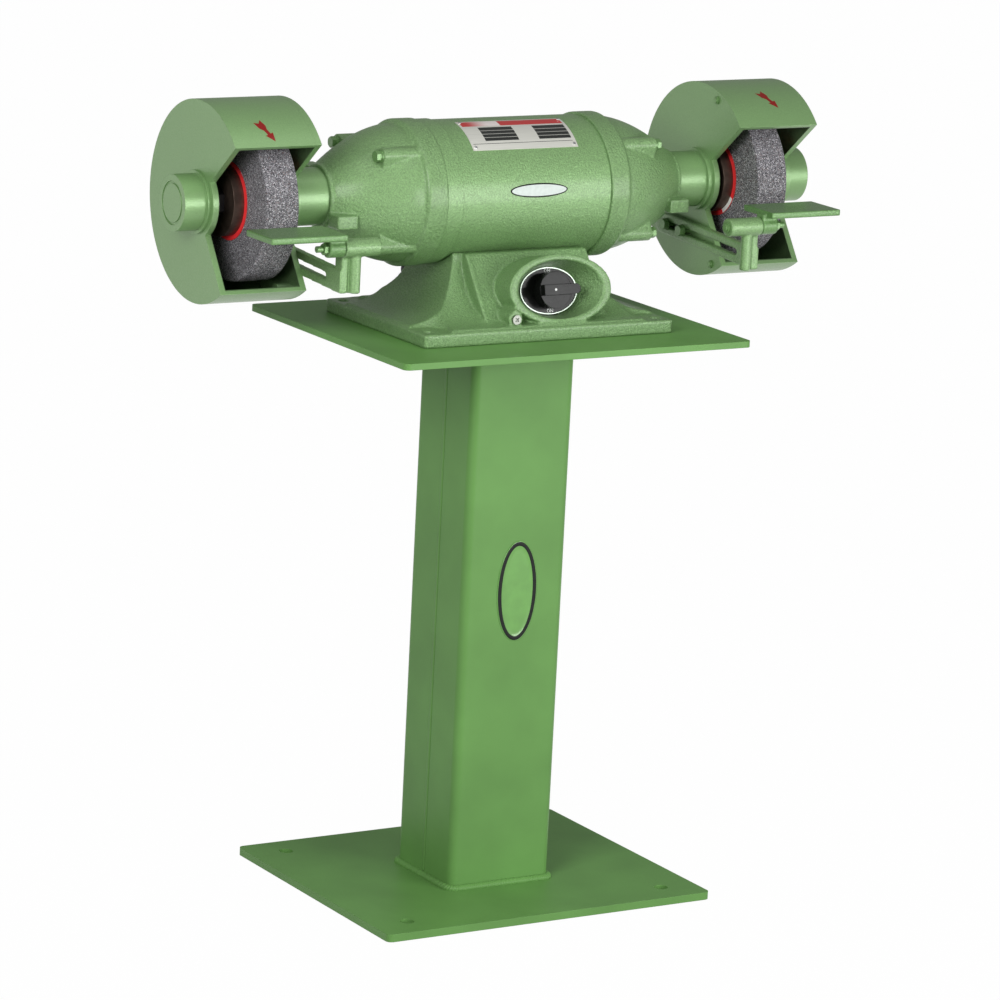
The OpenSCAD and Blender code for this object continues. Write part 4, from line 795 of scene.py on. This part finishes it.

# Wheel guards. Each guard is two castings: a motor-side plate with the tube that joins it to
# the bell, and a deep cover. They are turned and painted smooth. Inside the chamber the paint
# is darkened, as painted shade where the wheel and the drum shut out the light.
chamber_x0, chamber_x1, chamber_r = 0.3104, 0.4136, 0.1202
chamber_shade_green = (0.085, 0.155, 0.062)
guard_paint = hammer_finish("guard_enamel", cast_green, dimple=520.0, depth=0.00016, grain=0.12)
tree = guard_paint.node_tree
shader = tree.nodes["Principled BSDF"]
clean = shader.inputs["Base Color"].links[0].from_node
spot = add(tree, "SeparateXYZ", {0: object_place(tree)})
flat_spot = add(tree, "CombineXYZ", {"X": 0.0, "Y": (spot, "Y"), "Z": (spot, "Z")})
from_spindle = add(tree, "VectorMath", {0: (flat_spot, 0), 1: (0.0, spindle_y, spindle_z)},
                   operation="DISTANCE")
side_x = add(tree, "Math", {0: (spot, "X")}, operation="ABSOLUTE")
shade_mask = add(tree, "Math", {0: (from_spindle, "Value"), 1: chamber_r}, operation="LESS_THAN")
for bound, test in ((chamber_x0, "GREATER_THAN"), (chamber_x1, "LESS_THAN")):
    within = add(tree, "Math", {0: (side_x, 0), 1: bound}, operation=test)
    shade_mask = add(tree, "Math", {0: (shade_mask, 0), 1: (within, 0)}, operation="MULTIPLY")
# Painted shade: within the chamber the colour turns to a darker, mottled green.
shade_tone = add(tree, "MapRange", {"Value": (object_noise(tree, 45, detail=5, roughness=0.7), 0),
                              "To Min": 0.55, "To Max": 1.35})
shaded_chamber = add(tree, "HueSaturation", {"Color": (*chamber_shade_green, 1), "Value": (shade_tone, 0)})
shade_mix = add(tree, "Mix", {"Factor": (shade_mask, 0), 6: (clean, 0), 7: (shaded_chamber, 0)}, data_type="RGBA")
tree.links.new(shade_mix.outputs[2], shader.inputs["Base Color"])
dress(("left_guard_plate", "right_guard_plate", "left_guard_cover", "right_guard_cover"), guard_paint)

# Spindle caps. Turned steel cups pressed into the collars of the covers close them over the
# ends of the spindle, and are painted with them.
dress(("left_spindle_cap", "right_spindle_cap"),
      hammer_finish("cap_enamel", cast_green, dimple=520.0, depth=0.00012, grain=0.10))

# Guard screws. Pan-head steel screws join each cover to its plate, and are painted over with
# the guards.
dress(("guard_screws",), fastener_paint)

# Turning arrows. One red arrow painted aslant on each drum shows which way the wheel turns:
# over the top and down towards the user.
arrow_red = printed("arrow_red", (0.200, 0.008, 0.006), roughness=0.62, specular=0.20)
drum_r, paint_t = 0.125, 0.00015
arrow_l, feather_w, shaft_w, head_w = 0.036, 0.0056, 0.0024, 0.0060
arrow_slant = math.radians(23)
feather_end, shaft_start, head_start, tip, notch = 0.30, 0.46, 0.66, 0.999, 0.12
shoulder = 0.0001


def arrow_half_width(share):
    """Half width of the arrow at a share of its length from the tail."""
    if share < feather_end:
        return feather_w
    if share < shaft_start:
        return feather_w + (shaft_w - feather_w) * (share - feather_end) / (shaft_start - feather_end)
    if share < head_start:
        return shaft_w
    return head_w * (1 - share) / (1 - head_start)


stations = [0.0, 0.06, 0.12, 0.20, feather_end, 0.35, shaft_start, 0.51, head_start - shoulder,
            head_start, 0.68, 0.76, 0.84, 0.92, tip]
arrow_places = (("left_turning_arrow", -0.371, 51), ("right_turning_arrow", 0.367, 61))
for name, arrow_x, arrow_angle in arrow_places:
    points = []
    for lift in (paint_t, 0.0):
        for share in stations:
            half = arrow_half_width(share)
            for side in (-1, 0, 1):
                tucked = notch * (1 - share / feather_end) if side == 0 and share < feather_end else 0
                along, across = (share + tucked - 0.5) * arrow_l, side * half
                forward = along * math.cos(arrow_slant) - across * math.sin(arrow_slant)
                sideways = along * math.sin(arrow_slant) + across * math.cos(arrow_slant)
                points.append(round_spindle(arrow_x + sideways, drum_r + lift,
                                            math.radians(arrow_angle) - forward / drum_r))
    faces, rows = [], len(stations)
    under = rows * 3
    for row in range(rows - 1):
        for a in (row * 3, row * 3 + 1):
            faces.append((a, a + 3, a + 4, a + 1))
            faces.append(tuple(under + b for b in (a, a + 1, a + 4, a + 3)))
    edges = [(row * 3 + side, row * 3 + side + 3) for side in (0, 2) for row in range(rows - 1)]
    edges += [(0, 1), (1, 2), (under - 3, under - 2), (under - 2, under - 1)]
    faces += [(a, b, b + under, a + under) for a, b in edges]
    arrow = link_piece(name, solid_mesh(name, points, faces), arrow_red, smooth=False)
    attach(arrow, "stand")

# Rest arms. A slotted steel bar and a round post carry each rest, cast in one piece and
# painted with the machine.
arm_grain = 0.0013
for name, body in (("left_rest_arm", "left_arm"), ("right_rest_arm", "right_arm")):
    cast_skin(name, arm_grain, hammer_paint, passes=3, keep=0.8, body=body)

# Tool rests. Thick iron plates with a knuckle cast on underneath, hinged on the arms and
# painted in a slightly darker coat.
rest_green, rest_grain = (0.120, 0.250, 0.078), 0.0012
rest_paint = hammer_finish("rest_enamel", rest_green)
for name, body in (("left_tool_rest", "left_rest"), ("right_tool_rest", "right_rest")):
    cast_skin(name, rest_grain, rest_paint, passes=3, keep=0.8, body=body)

# Pivot bolts. Each steel bolt and its nut pinch the knuckle of a rest against its arm. They
# are painted over with them.
dress(("left_pivot_bolt", "right_pivot_bolt", "left_pivot_nut", "right_pivot_nut"), fastener_paint)

# Arm bolts. Hexagon bolts and washers of steel clamp the slotted bars to the guards, and are
# painted over.
dress(("arm_bolts", "arm_washers"), fastener_paint)
